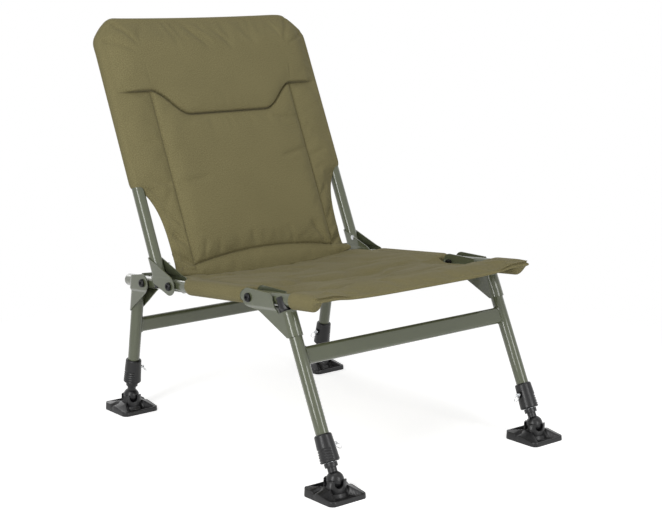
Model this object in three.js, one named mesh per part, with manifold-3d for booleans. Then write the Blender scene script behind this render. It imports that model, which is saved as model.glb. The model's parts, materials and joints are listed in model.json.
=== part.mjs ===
// Carp fishing chair: a low folding chair on four telescopic legs with swivelling mud feet.
// Two round seat rails carry a padded sling. Three frames hinge on them at bolted channel
// brackets: front legs, rear legs and a U-shaped backrest. Millimetres, +Z up, front to -Y.

import * as THREE from 'three';
import { mergeVertices } from 'three/addons/utils/BufferGeometryUtils.js';
import Module from 'manifold-3d';

// Overall layout
const railSpacing = 522;
const railTilt = 5.4;
const frontPivotHeight = 328;
const pivotSpacing = 368;
const backPivotAdvance = 99;
const ballHeight = 32;
const frontRake = 25.2;
const rearRake = 9.4;
const backRake = 24.5;
const backrestHeight = 594;

// Distance of each tube's axis from its own pivot
const frontLegOffset = 85;
const rearLegOffset = 39;
const backTubeOffset = 49;

// Tubes
const tubeDiameter = 25;
const tubeWall = 1.5;
const innerLegDiameter = 20.8;
const innerLegWall = 1.5;
const innerLegClearance = 33;
const railFrontReach = 176;
const railRearReach = 75;

// Clearances, and how far a cutting tool runs past what it cuts
const seatGap = 0.3;
const boltGap = 0.4;
const plugGap = 0.3;
const overrun = 1;
const mouthDepth = 4;
const cutterReach = 260;

// Sheet channel brackets
const sheet = 2.2;
const earRadius = 18.5;
const joggleDrop = 2.5;
const joggleLength = 5;
const frontSleeveStart = 52;
const frontSleeveLength = 49;
const frontFlangeInset = 14;
const frontTailInset = 5;
const frontWaistDrop = 12;
const rearChannelLength = 77;
const backChannelLength = 76;
const openTailInset = 3;
const backHeelDrop = 6;

// Plastic saddles
const saddleFloor = 8;
const saddleArm = 8;
const saddlePlug = 14;

// Pivot bolts with their spacer washers
const boltDiameter = 8;
const boltHeadDiameter = 17.5;
const boltHeadHeight = 4.5;
const boltHeadCrown = 1.6;
const hexAcross = 7;
const hexDepth = 2.4;
const spacerDiameter = 21.5;
const spacerThickness = 3;
const nutAcross = 13;
const nutHeight = 7;

// Rail end plugs
const capDome = 8;
const capPlug = 12;
const frontPlugDisc = 2;

// Flat-oval crossbars
const barHeight = 33;
const barDepth = 15;
const barWall = 1.5;
const frontBarDrop = 138;
const rearBarDrop = 110;

// Backrest tube
const backBendRadius = 62;

// Leg collars
const collarLength = 52;
const collarTopDiameter = 33;
const collarBottomDiameter = 37.5;
const collarBevel = 2.2;
const collarLip = 3;
const grooveCount = 4;
const groovePitch = 5.2;
const grooveWidth = 2.4;
const grooveDepth = 1.5;
const grooveRise = 7;
const windowWidth = 13;
const windowHeight = 15;
const windowDepth = 2.6;
const windowRound = 3.5;
const windowRise = 31;

// Pull pins and their split rings
const pinDiameter = 5;
const pinTipGap = 0.4;
const pinHeadDiameter = 7.5;
const pinHeadStart = 17.4;
const pinHeadLength = 3.4;
const pinEyeDiameter = 6.8;
const pinEyeBore = 4;
const pinEyeThickness = 2.4;
const ringDiameter = 15;
const ringWire = 1.6;
const ringSwing = 35;
const holeMargin = 40;
const holeCount = 5;

// Ball studs
const ballDiameter = 33;
const socketGap = 1.2;
const neckDiameter = 17.5;
const studFlangeDiameter = 22;
const studFlangeThickness = 5;
const studLength = 28;
const studPlug = 10;
const legShow = 4;

// Foot pads
const padSize = 85;
const padCorner = 12;
const padFloor = 5;
const padRimHeight = 9;
const padSideRise = 6;
const padWall = 4;
const cupWall = 3.2;
const cupRise = 3;
const notchWidth = 15;
const notchDepth = 10;
const ribThickness = 3.5;
const ribSpread = 10;
const ribTopDrop = 12;
const lugWidth = 13;
const lugDepth = 6;
const lugDrop = 3;

// Seat sling
const clothThickness = 3;
const clothGap = 0.6;
const seatThickness = 7;
const seatSag = 15;
const frontSagShare = 0.2;
const sleeveFrontEnd = 194;
const sleeveFrontStart = 107;
const sleeveMainStart = 26;
const sleeveMainEnd = 226;
const seatRearEnd = 312;
const cutOutDepth = 30;
const cutOutRound = 10;
const rearWaist = 62;
const rearWaistLength = 34;
const hemDrop = 15;
const hemThickness = 6;

// Back pad
const padOverTube = 3.2;
const padFront = 24;
const padBack = 8;
const padCrown = 5;
const padSeam = 6;
const panelHalf = 184;
const headSeamHeight = 430;
const headSeamDip = 60;
const headSeamHalf = 100;
const lowSeamHeight = 42;
const lowSeamArch = 18;
const scallopHeight = 222;
const scallopHalf = 220;
const scallopFront = 9;
const scallopBack = 1;
const padLowGap = 2;
const padLowFront = 26;
const padLowBack = 40;

// Facet counts
const tubeSides = 24;
const arcSteps = 6;
const smallSides = 16;
const fineSides = 12;
const boltSides = 10;
const holeSides = 8;
const bendSteps = 7;
const cornerSteps = 3;
const windowSteps = 2;
const barSteps = 4;
const ballSteps = 6;
const socketSteps = 4;
const notchSteps = 6;
const domeSteps = 4;
const wireSides = 4;
const hexSides = 6;

// Finishes
const oliveColor = 0x6b6e60;
const blackColor = 0x2b2b2c;
const oxideColor = 0x1c1c1d;
const steelColor = 0xc9ccd0;
const clothColor = 0x7d7658;

const wasm = await Module();
wasm.setup();

const deg = THREE.MathUtils.degToRad;
const [xAxis, yAxis, zAxis] = [
  new THREE.Vector3(1, 0, 0),
  new THREE.Vector3(0, 1, 0),
  new THREE.Vector3(0, 0, 1),
];

// Seen from a person in the seat: the right side lies at -X
const sideSigns = { right: -1, left: 1 };

const tubeRadius = tubeDiameter / 2;
const tubeBore = tubeRadius - tubeWall;
const innerLegRadius = innerLegDiameter / 2;
const innerLegBore = innerLegRadius - innerLegWall;
const railX = railSpacing / 2;
const sleeveInner = tubeRadius + seatGap;
const sleeveOuter = sleeveInner + sheet;
const flangeInner = tubeRadius + spacerThickness + 2 * seatGap;
const flangeOuter = flangeInner + sheet;

function finish(name, color, roughness, metalness) {
  const material = new THREE.MeshStandardMaterial({ color, roughness, metalness });
  material.name = name;
  return material;
}

const paintedSteel = () => finish('olive_powder_coat', oliveColor, 0.42, 0.35);
const blackPlastic = () => finish('black_nylon', blackColor, 0.5, 0);
const blackSteel = () => finish('black_oxide_steel', oxideColor, 0.35, 0.6);
const brightSteel = () => finish('bright_steel', steelColor, 0.25, 1);
const oliveCloth = () => finish('olive_polyester', clothColor, 0.9, 0);

// Shapes: closed three.js geometries, turned into solids that can be joined and cut

function solid(geometry) {
  const plain = geometry.clone();
  plain.deleteAttribute('normal');
  plain.deleteAttribute('uv');
  const merged = mergeVertices(plain);
  return new wasm.Manifold(new wasm.Mesh({
    numProp: 3,
    vertProperties: new Float32Array(merged.attributes.position.array),
    triVerts: new Uint32Array(merged.index.array),
  }));
}

function piece(name, body, material) {
  const skin = body.getMesh();
  const geometry = new THREE.BufferGeometry();
  geometry.setAttribute('position', new THREE.BufferAttribute(skin.vertProperties, 3));
  geometry.setIndex(new THREE.BufferAttribute(skin.triVerts, 1));
  const mesh = new THREE.Mesh(geometry, material);
  mesh.name = name;
  return mesh;
}

function join(...bodies) {
  return bodies.reduce((whole, body) => whole.add(body));
}

function cut(body, ...tools) {
  return tools.reduce((rest, tool) => rest.subtract(tool), body);
}

// Turned about Z from [radius, height] points
function turned(points, segments = tubeSides) {
  const profile = points.map(([radius, height]) => new THREE.Vector2(radius, height));
  return new THREE.LatheGeometry(profile, segments).rotateX(Math.PI / 2);
}

function rod(radius, low, high, segments = tubeSides) {
  return turned([[0, low], [radius, low], [radius, high], [0, high]], segments);
}

function pipe(outer, inner, low, high, segments = tubeSides) {
  return turned([[inner, low], [outer, low], [outer, high], [inner, high], [inner, low]], segments);
}

// Lays a shape drawn along Z down along X, or along Y
function alongX(geometry) {
  return geometry.rotateY(Math.PI / 2);
}

function alongY(geometry) {
  return geometry.rotateX(-Math.PI / 2);
}

// Points of an arc, as [across, up], both ends included
function arc(centreAcross, centreUp, radius, from, to, steps) {
  return Array.from({ length: steps + 1 }, (_, step) => {
    const angle = from + (to - from) * step / steps;
    return [centreAcross + radius * Math.cos(angle), centreUp + radius * Math.sin(angle)];
  });
}

// Half a turn of flat faces that all touch a circle, from one straight side to the other
function halfRound(centreUp, radius, from) {
  const step = Math.PI / arcSteps;
  const corner = radius / Math.cos(step / 2);
  return arc(0, centreUp, corner, from + step / 2, from + Math.PI - step / 2, arcSteps - 1);
}

function outline(points) {
  return new THREE.Shape(points.map(([across, up]) => new THREE.Vector2(across, up)));
}

function roundedRectangle(width, height, radius, steps = cornerSteps) {
  const across = width / 2 - radius;
  const up = height / 2 - radius;
  return [
    ...arc(across, up, radius, 0, Math.PI / 2, steps),
    ...arc(-across, up, radius, Math.PI / 2, Math.PI, steps),
    ...arc(-across, -up, radius, Math.PI, 1.5 * Math.PI, steps),
    ...arc(across, -up, radius, 1.5 * Math.PI, 2 * Math.PI, steps),
  ];
}

// An outline pushed up along Z from low to high
function plate(shape, low, high) {
  const geometry = new THREE.ExtrudeGeometry(shape, { depth: high - low, bevelEnabled: false });
  return geometry.translate(0, 0, low);
}

// An outline drawn in Y and Z, pushed out along X from low to high
function sidePlate(shape, low, high) {
  const turn = new THREE.Matrix4().makeBasis(yAxis, zAxis, xAxis);
  return plate(shape, low, high).applyMatrix4(turn);
}

function block(sizeX, sizeY, sizeZ, x, y, z) {
  return new THREE.BoxGeometry(sizeX, sizeY, sizeZ).translate(x, y, z);
}

function indexed(points, triangles) {
  const geometry = new THREE.BufferGeometry().setFromPoints(points);
  geometry.setIndex(triangles);
  return geometry;
}

// Rings of equal length, stacked in order, with a flat fan at either end
function loft(rings) {
  const count = rings[0].length;
  const last = (rings.length - 1) * count;
  const triangles = [];
  for (let ring = 0; ring + 1 < rings.length; ring += 1) {
    for (let step = 0; step < count; step += 1) {
      const a = ring * count + step;
      const b = ring * count + (step + 1) % count;
      triangles.push(a, b, b + count, a, b + count, a + count);
    }
  }
  for (let step = 1; step + 1 < count; step += 1) {
    triangles.push(0, step + 1, step);
    triangles.push(last, last + step, last + step + 1);
  }
  return indexed(rings.flat(), triangles);
}

// A closed blanket between two skins, each a function of column and row
function blanket(columns, rows, upper, lower) {
  const points = [];
  const triangles = [];
  for (const skin of [upper, lower]) {
    for (let row = 0; row < rows; row += 1) {
      for (let column = 0; column < columns; column += 1) {
        points.push(skin(column, row));
      }
    }
  }
  const at = (layer, column, row) => (layer * rows + row) * columns + column;
  const quad = (a, b, c, d) => triangles.push(a, b, c, a, c, d);
  for (let row = 0; row + 1 < rows; row += 1) {
    for (let column = 0; column + 1 < columns; column += 1) {
      const [c, r] = [column + 1, row + 1];
      quad(at(0, column, row), at(0, c, row), at(0, c, r), at(0, column, r));
      quad(at(1, column, row), at(1, column, r), at(1, c, r), at(1, c, row));
    }
  }
  for (let column = 0; column + 1 < columns; column += 1) {
    const c = column + 1;
    const r = rows - 1;
    quad(at(0, c, 0), at(0, column, 0), at(1, column, 0), at(1, c, 0));
    quad(at(0, column, r), at(0, c, r), at(1, c, r), at(1, column, r));
  }
  for (let row = 0; row + 1 < rows; row += 1) {
    const c = columns - 1;
    const r = row + 1;
    quad(at(0, 0, row), at(0, 0, r), at(1, 0, r), at(1, 0, row));
    quad(at(0, c, r), at(0, c, row), at(1, c, row), at(1, c, r));
  }
  return indexed(points, triangles);
}

// Hinged frames
//
// Each hinged tube is drawn in its own frame: its pivot at the origin, +Y towards the
// tube's axis and +Z along the tube, away from the rail. The rail runs from the pivot
// towards +Y and climbs by the lean of that joint.

const frontJoint = {
  offset: frontLegOffset,
  lean: deg(frontRake - railTilt),
  footDistance: (frontPivotHeight - ballHeight + frontLegOffset * Math.sin(deg(frontRake)))
    / Math.cos(deg(frontRake)),
};
const rearPivotHeight = frontPivotHeight - pivotSpacing * Math.sin(deg(railTilt));
const rearJoint = {
  offset: rearLegOffset,
  lean: deg(rearRake + railTilt),
  footDistance: (rearPivotHeight - ballHeight + rearLegOffset * Math.sin(deg(rearRake)))
    / Math.cos(deg(rearRake)),
};
const backJoint = { offset: backTubeOffset, lean: deg(backRake - railTilt) };

// The inner legs are all alike, so the rear legs, which are shorter, set their length
const innerLegLength = rearJoint.footDistance - studLength - innerLegClearance
  - tubeStart(rearJoint) - saddlePlug;
const holePitch = (innerLegLength - holeMargin) / holeCount;

function railAt(joint, across) {
  return across * Math.tan(joint.lean);
}

// Where the rail's near and far skins stand, measured along the tube
function railBottom(joint, across) {
  return railAt(joint, across) + tubeRadius / Math.cos(joint.lean);
}

function railTop(joint, across) {
  return railAt(joint, across) - tubeRadius / Math.cos(joint.lean);
}

function tubeStart(joint) {
  return railBottom(joint, joint.offset) + saddleFloor;
}

// The room that the rail takes up, opened away from the tube so that it can swing out
function railSlot(joint, radius) {
  const shape = outline([
    ...halfRound(0, radius, Math.PI),
    [radius, cutterReach],
    [-radius, cutterReach],
  ]);
  const out = new THREE.Vector3(0, Math.sin(joint.lean), -Math.cos(joint.lean));
  const along = new THREE.Vector3(0, Math.cos(joint.lean), Math.sin(joint.lean));
  const turn = new THREE.Matrix4().makeBasis(xAxis, out, along);
  return plate(shape, -cutterReach, cutterReach).applyMatrix4(turn);
}

// A ring of the channel: round behind the tube, straight down both flanges. The height
// is measured from the rail, so the sheet steps in along a line parallel to it.
function channelRing(joint, halfWidth, height) {
  const mouth = -earRadius - overrun;
  const ring = [
    [halfWidth, mouth],
    ...halfRound(joint.offset, halfWidth, 0),
    [-halfWidth, mouth],
  ];
  return ring.map(([x, y]) => new THREE.Vector3(x, y, height + railAt(joint, y)));
}

// Sheet channel, wide astride the rail and joggled in below it to hug the tube
function channel(joint) {
  const joggle = tubeRadius + joggleDrop;
  const skin = (wide, narrow, extra) => solid(loft([
    channelRing(joint, wide, -cutterReach - extra),
    channelRing(joint, wide, joggle),
    channelRing(joint, narrow, joggle + joggleLength),
    channelRing(joint, narrow, cutterReach + extra),
  ]));
  const outer = skin(flangeOuter, sleeveOuter, 0);
  const inner = skin(flangeInner, sleeveInner, overrun);
  const mouthRoom = block(
    flangeInner * 2, mouthDepth, cutterReach * 3, 0, -earRadius - overrun, 0,
  );
  return cut(outer, inner, solid(mouthRoom));
}

// The ear round the pivot, as seen from the side
function ear() {
  return solid(alongX(rod(earRadius, -flangeOuter, flangeOuter, smallSides)));
}

// Where a straight edge from a point touches the ear
function earTangent([across, up]) {
  const angle = Math.atan2(up, across) + Math.acos(earRadius / Math.hypot(across, up));
  return [earRadius * Math.cos(angle), earRadius * Math.sin(angle)];
}

// A channel cut to a side view: the given points, and the ear
function pressed(joint, points) {
  const flanges = solid(sidePlate(outline(points), -flangeOuter, flangeOuter));
  const profile = join(flanges, ear());
  const boltHole = alongX(
    rod(boltDiameter / 2 + boltGap, -flangeOuter * 2, flangeOuter * 2, holeSides),
  );
  const railRoom = railSlot(joint, tubeRadius + overrun);
  return cut(channel(joint).intersect(profile), solid(boltHole), solid(railRoom));
}

// Front bracket: a full sleeve round the front of the leg, with flanges back to the pivot
function frontBracket() {
  const joint = frontJoint;
  const tail = [joint.offset - frontTailInset, frontSleeveStart + frontSleeveLength];
  const waist = [earRadius, railBottom(joint, earRadius) + frontWaistDrop];
  const web = joint.offset + flangeOuter + overrun;
  const shoulder = joint.offset - frontFlangeInset;
  return pressed(joint, [
    [0, railTop(joint, 0)],
    [shoulder, railTop(joint, shoulder)],
    [shoulder, frontSleeveStart],
    [web, frontSleeveStart],
    [web, tail[1]],
    tail,
    waist,
    earTangent(waist),
  ]);
}

// Rear leg bracket: an open channel, its web behind the leg and its flanges cut slanting
function rearBracket() {
  const joint = rearJoint;
  const tail = [joint.offset + openTailInset, rearChannelLength];
  const web = joint.offset + flangeOuter + overrun;
  return pressed(joint, [
    [0, railTop(joint, 0)],
    [web, railTop(joint, web)],
    [web, tail[1]],
    tail,
    earTangent(tail),
  ]);
}

// Backrest bracket: the same channel turned up, its web starting above the rail
function backBracket() {
  const joint = backJoint;
  const tail = [joint.offset + openTailInset, backChannelLength];
  const web = joint.offset + flangeOuter + overrun;
  const heel = railBottom(joint, joint.offset) + backHeelDrop;
  return pressed(joint, [
    [0, railTop(joint, 0)],
    [earRadius, railTop(joint, earRadius)],
    [web, heel],
    [web, tail[1]],
    tail,
    earTangent(tail),
  ]);
}

// A cradle with two arms astride the rail, a collar on the tube's end, a plug inside it
function saddle(joint) {
  const skin = railBottom(joint, joint.offset);
  const reach = flangeInner - seatGap;
  const collarEnd = tubeStart(joint) - seatGap;
  const armEnd = skin - tubeRadius - saddleArm;
  const onAxis = (geometry) => solid(geometry.translate(0, joint.offset, 0));
  const cradle = onAxis(rod(reach, armEnd, collarEnd, fineSides));
  const waist = solid(sidePlate(outline([
    [joint.offset - tubeRadius, armEnd],
    [joint.offset + tubeRadius, armEnd],
    [joint.offset + tubeRadius, collarEnd],
    [joint.offset - tubeRadius, collarEnd],
  ]), -reach, reach));
  const joggle = solid(loft([
    channelRing(joint, flangeInner - seatGap, -cutterReach),
    channelRing(joint, flangeInner - seatGap, tubeRadius + joggleDrop - seatGap),
    channelRing(joint, sleeveInner - seatGap, tubeRadius + joggleDrop + joggleLength - seatGap),
    channelRing(joint, sleeveInner - seatGap, collarEnd),
  ]));
  const plug = onAxis(rod(
    tubeBore - plugGap, collarEnd - overrun, tubeStart(joint) + saddlePlug, fineSides,
  ));
  const room = solid(railSlot(joint, tubeRadius + seatGap));
  return cut(join(cradle.intersect(waist).intersect(joggle), plug), room);
}

// Bolt along X with its head at +X, its nut at -X and a spacer washer on either side
function pivotBolt() {
  const shank = boltDiameter / 2;
  const headStart = flangeOuter + seatGap;
  const headEnd = headStart + boltHeadHeight;
  const spacerStart = tubeRadius + seatGap;
  const spacerEnd = spacerStart + spacerThickness;
  const spacerRadius = spacerDiameter / 2;
  const headRadius = boltHeadDiameter / 2;
  const bolt = solid(alongX(turned([
    [0, -headStart - nutHeight],
    [shank, -headStart - nutHeight],
    [shank, -spacerEnd],
    [spacerRadius, -spacerEnd],
    [spacerRadius, -spacerStart],
    [shank, -spacerStart],
    [shank, spacerStart],
    [spacerRadius, spacerStart],
    [spacerRadius, spacerEnd],
    [shank, spacerEnd],
    [shank, headStart],
    [headRadius, headStart],
    [headRadius, headEnd - boltHeadCrown],
    [headRadius - boltHeadCrown, headEnd],
    [0, headEnd],
  ], boltSides)));
  const nut = solid(alongX(rod(nutAcross / 2, -headStart - nutHeight, -headStart, hexSides)));
  const socket = solid(alongX(rod(
    hexAcross / 2, headEnd - hexDepth, headEnd + overrun, hexSides,
  )));
  return cut(join(bolt, nut), socket);
}

// Flat-oval bar between two legs, its ends cut to their round
function crossbar(joint, drop) {
  const section = outline(roundedRectangle(barDepth, barHeight, barDepth / 2, barSteps));
  section.holes.push(new THREE.Path(roundedRectangle(
    barDepth - 2 * barWall, barHeight - 2 * barWall, barDepth / 2 - barWall, barSteps,
  ).map(([across, up]) => new THREE.Vector2(across, up))));
  const bar = sidePlate(section, -railX, railX).translate(0, joint.offset, drop);
  const legs = [-railX, railX].map((x) => solid(
    rod(tubeRadius + seatGap, drop - barHeight, drop + barHeight).translate(x, joint.offset, 0),
  ));
  return cut(solid(bar), ...legs);
}

// Legs and feet, on the axis of the leg: +Z towards the foot, +X towards the outside

function collarEndOf(joint) {
  return joint.footDistance - studLength - legShow;
}

function pinHeightOf(joint) {
  return collarEndOf(joint) - windowRise;
}

function outerLeg(joint) {
  const end = collarEndOf(joint) - collarLip - seatGap;
  const tube = solid(pipe(tubeRadius, tubeBore, tubeStart(joint), end));
  const hole = alongX(rod(pinDiameter / 2 + boltGap, -tubeDiameter, 0, holeSides));
  return cut(tube, solid(hole.translate(0, 0, pinHeightOf(joint))));
}

// Moulded collar: bevelled, wider at the foot, gripped by grooves on its outer side and
// with a window for the pull pin on its inner side
function legCollar(joint) {
  const end = collarEndOf(joint);
  const start = end - collarLength;
  const [topRadius, bottomRadius] = [collarTopDiameter / 2, collarBottomDiameter / 2];
  const bore = tubeRadius + seatGap;
  const body = solid(turned([
    [bore, start],
    [topRadius - collarBevel, start],
    [topRadius, start + collarBevel],
    [bottomRadius, end - collarBevel],
    [bottomRadius - collarBevel, end],
    [innerLegRadius + boltGap, end],
    [innerLegRadius + boltGap, end - collarLip],
    [bore, end - collarLip],
    [bore, start],
  ], smallSides));
  const grooves = Array.from({ length: grooveCount }, (_, index) => {
    const height = end - grooveRise - index * groovePitch;
    const taper = (bottomRadius - topRadius) * (end - height) / collarLength;
    const floor = bottomRadius - taper - grooveDepth;
    return solid(block(
      collarBevel * 2, collarBottomDiameter, grooveWidth, floor + collarBevel, 0, height,
    ));
  });
  const face = bottomRadius - (bottomRadius - topRadius) * windowRise / collarLength;
  const opening = outline(roundedRectangle(windowWidth, windowHeight, windowRound, windowSteps));
  const window = sidePlate(opening, -bottomRadius - overrun, windowDepth - face);
  const hole = alongX(rod(pinDiameter / 2 + boltGap, -bottomRadius, 0, holeSides));
  const height = pinHeightOf(joint);
  return cut(
    body,
    ...grooves,
    solid(window.translate(0, 0, height)),
    solid(hole.translate(0, 0, height)),
  );
}

// Pull pin pointing inwards at the inner leg, with a flat eye for its ring
function pullPin() {
  const tip = innerLegRadius + pinTipGap;
  const headEnd = pinHeadStart + pinHeadLength;
  const eye = headEnd + pinEyeDiameter / 2;
  const shaft = solid(alongX(turned([
    [0, -headEnd],
    [pinHeadDiameter / 2, -headEnd],
    [pinHeadDiameter / 2, -pinHeadStart],
    [pinDiameter / 2, -pinHeadStart],
    [pinDiameter / 2, -tip],
    [0, -tip],
  ], holeSides)));
  const tab = alongY(rod(pinEyeDiameter / 2, -pinEyeThickness / 2, pinEyeThickness / 2, boltSides));
  const root = block(pinEyeDiameter / 2, pinEyeThickness, pinEyeDiameter, -headEnd, 0, 0);
  const bore = alongY(rod(pinEyeBore / 2, -pinEyeThickness, pinEyeThickness, holeSides));
  return cut(
    join(shaft, solid(tab.translate(-eye, 0, 0)), solid(root)),
    solid(bore.translate(-eye, 0, 0)),
  );
}

// Split ring hanging in the eye, its wire resting on the eye's bore
function pullRing() {
  const eye = pinHeadStart + pinHeadLength + pinEyeDiameter / 2;
  const rest = (pinEyeBore - ringWire) / 2 - 2 * seatGap;
  const ringRadius = (ringDiameter - ringWire) / 2;
  const ring = new THREE.TorusGeometry(ringRadius, ringWire / 2, wireSides, fineSides);
  ring.rotateY(Math.PI / 2);
  ring.translate(0, 0, ringRadius);
  ring.rotateY(-deg(ringSwing));
  return solid(ring.translate(-eye - rest * Math.sin(deg(ringSwing)), 0, rest));
}

// Inner leg with a row of locking holes on its inner side
function innerLeg(joint) {
  const end = joint.footDistance - studLength - seatGap;
  const tube = solid(pipe(innerLegRadius, innerLegBore, end - innerLegLength, end, smallSides));
  const holes = Array.from({ length: holeCount }, (_, index) => {
    const hole = alongX(rod(pinDiameter / 2 + boltGap, -tubeDiameter, 0, holeSides));
    return solid(hole.translate(0, 0, pinHeightOf(joint) - index * holePitch));
  });
  return cut(tube, ...holes);
}

// Ball stud, its ball's centre at the origin
function ballStud() {
  const [ball, neck] = [ballDiameter / 2, neckDiameter / 2];
  const flange = studFlangeDiameter / 2;
  const plug = innerLegBore - plugGap;
  const neckEnd = Math.asin(neck / ball) - Math.PI / 2;
  return solid(turned([
    [0, -studLength - studPlug],
    [plug, -studLength - studPlug],
    [plug, -studLength],
    [flange, -studLength],
    [flange, studFlangeThickness - studLength],
    [neck, studFlangeThickness - studLength],
    ...arc(0, 0, ball, neckEnd, Math.PI / 2, ballSteps).slice(0, -1),
    [0, ball],
  ], fineSides));
}

// Foot pad, its ball socket's centre at the origin and the floor at minus ballHeight
function footPad() {
  const floor = -ballHeight;
  const half = padSize / 2;
  const inset = half - padWall;
  const plan = outline(roundedRectangle(padSize, padSize, padCorner));
  const innerPlan = outline(roundedRectangle(inset * 2, inset * 2, padCorner - padWall));
  const rimTop = floor + padRimHeight;
  const sideTop = rimTop + padSideRise;
  const plateBody = solid(plate(plan, floor, floor + padFloor));
  const wall = cut(
    solid(plate(plan, floor, sideTop)),
    solid(plate(innerPlan, floor + padFloor, sideTop + overrun)),
  );
  // The side walls fall towards the front; the front wall is the low rim
  const above = solid(sidePlate(outline([
    [-half - overrun, rimTop],
    [-inset, rimTop],
    [inset, sideTop],
    [half + overrun, sideTop],
    [half + overrun, sideTop + ballHeight],
    [-half - overrun, sideTop + ballHeight],
  ]), -padSize, padSize));
  const socket = ballDiameter / 2 + socketGap;
  const cupRadius = socket + cupWall;
  const cup = solid(rod(cupRadius, floor, cupRise, fineSides));
  const ribs = [1, 3, 5, 7].flatMap((eighth) => [-1, 1].map((hand) => {
    const rib = sidePlate(outline([
      [0, floor + padFloor / 2],
      [half * Math.SQRT2 - padCorner, floor + padFloor / 2],
      [half * Math.SQRT2 - padCorner, rimTop],
      [cupRadius, -ribTopDrop],
      [0, -ribTopDrop],
    ]), -ribThickness / 2, ribThickness / 2);
    return solid(rib.translate(hand * ribSpread / 2, 0, 0).rotateZ(eighth * Math.PI / 4));
  }));
  const lug = solid(block(
    lugWidth, cupRadius + lugDepth, ballHeight - lugDrop,
    0, (cupRadius + lugDepth) / 2, floor + (ballHeight - lugDrop) / 2,
  ));
  const room = solid(turned([
    [0, -socket],
    ...arc(0, 0, socket, -Math.PI / 2, 0, socketSteps).slice(1),
    [socket, cupRise + overrun],
    [0, cupRise + overrun],
  ], fineSides));
  const notchFloor = cupRise - notchDepth;
  const notchRadius = notchWidth / 2;
  const notches = [0, 1].map((turn) => {
    const notch = sidePlate(outline([
      ...arc(0, notchFloor + notchRadius, notchRadius, Math.PI, 2 * Math.PI, notchSteps),
      [notchRadius, cupRise + overrun],
      [-notchRadius, cupRise + overrun],
    ]), -cupRadius - overrun, cupRadius + overrun);
    return solid(notch.rotateZ(turn * Math.PI / 2));
  });
  const body = join(plateBody, cut(wall, above), cup, lug, ...ribs);
  return cut(body, room, ...notches);
}

// Seat frame, in the frame of the rails: front pivots at the origin, +Y rearwards

function rail() {
  const end = pivotSpacing + railRearReach;
  const tube = solid(alongY(pipe(tubeRadius, tubeBore, -railFrontReach, end)));
  const holes = [0, pivotSpacing - backPivotAdvance, pivotSpacing].map((y) => {
    const hole = alongX(rod(boltDiameter / 2 + boltGap, -tubeDiameter, tubeDiameter, holeSides));
    return solid(hole.translate(0, y, 0));
  });
  return cut(tube, ...holes);
}

function railRearCap() {
  const start = pivotSpacing + railRearReach + seatGap;
  const plug = tubeBore - plugGap;
  const dome = arc(0, 0, 1, 0, Math.PI / 2, domeSteps).slice(0, -1)
    .map(([across, up]) => [tubeRadius * across, start + capDome * up]);
  return solid(alongY(turned([
    [0, start - capPlug],
    [plug, start - capPlug],
    [plug, start],
    ...dome,
    [0, start + capDome],
  ], smallSides)));
}

function railFrontPlug() {
  const start = -railFrontReach - seatGap;
  const plug = tubeBore - plugGap;
  return solid(alongY(turned([
    [0, start - frontPlugDisc],
    [tubeRadius, start - frontPlugDisc],
    [tubeRadius, start],
    [plug, start],
    [plug, start + capPlug],
    [0, start + capPlug],
  ], fineSides)));
}

const clothTop = tubeRadius + clothGap + clothThickness;

// Height of the seat's upper skin: level with the sleeves at the sides, slack between
function seatTop(x, y) {
  const reach = Math.min(1, Math.abs(x) / railX);
  const depth = THREE.MathUtils.smoothstep(y, -sleeveFrontEnd, 0);
  const sag = seatSag * (frontSagShare + (1 - frontSagShare) * depth);
  return clothTop - sag * (1 - reach * reach);
}

// Rows of the seat from front to rear, each with how far it reaches to either side
const seatRows = [
  [-sleeveFrontEnd, railX],
  [-(sleeveFrontEnd + sleeveFrontStart) / 2, railX],
  [-sleeveFrontStart - cutOutRound, railX],
  [-sleeveFrontStart, railX - cutOutDepth],
  [-sleeveFrontStart / 2, railX - cutOutDepth],
  [0, railX - cutOutDepth],
  [sleeveMainStart, railX - cutOutDepth],
  [sleeveMainStart + cutOutRound, railX],
  [(sleeveMainStart + sleeveMainEnd) / 2, railX],
  [sleeveMainEnd, railX],
  [sleeveMainEnd + rearWaistLength / 3, railX - rearWaist / 2],
  [sleeveMainEnd + rearWaistLength, railX - rearWaist],
  [seatRearEnd, railX - rearWaist],
];
const seatShares = [-1, -0.93, -0.8, -0.6, -0.4, -0.2, 0, 0.2, 0.4, 0.6, 0.8, 0.93, 1];

function seatSling() {
  const at = (column, row, drop) => {
    const [y, half] = seatRows[row];
    const x = half * seatShares[column];
    return new THREE.Vector3(x, y, seatTop(x, y) - drop);
  };
  const panel = solid(blanket(
    seatShares.length,
    seatRows.length,
    (column, row) => at(column, row, 0),
    (column, row) => at(column, row, seatThickness),
  ));
  const hemAt = (column, row, drop) => {
    const x = railX * seatShares[column];
    const y = -sleeveFrontEnd + row * hemThickness;
    return new THREE.Vector3(x, y, seatTop(x, -sleeveFrontEnd) - drop);
  };
  const hem = solid(blanket(
    seatShares.length,
    2,
    (column, row) => hemAt(column, row, 0),
    (column, row) => hemAt(column, row, hemDrop),
  ));
  const stretches = [
    [-sleeveFrontEnd, -sleeveFrontStart - cutOutRound],
    [sleeveMainStart + cutOutRound, sleeveMainEnd],
  ];
  const sleeves = [-railX, railX].flatMap((x) => stretches.map(([start, end]) => solid(
    alongY(rod(clothTop, start, end, smallSides)).translate(x, 0, 0),
  )));
  const rails = [-railX, railX].map((x) => solid(
    alongY(rod(tubeRadius + clothGap, -railSpacing, railSpacing, smallSides)).translate(x, 0, 0),
  ));
  return cut(join(panel, hem, ...sleeves), ...rails);
}

// Backrest, in its own hinged frame

const backTop = backrestHeight - tubeRadius - padOverTube;

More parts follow.
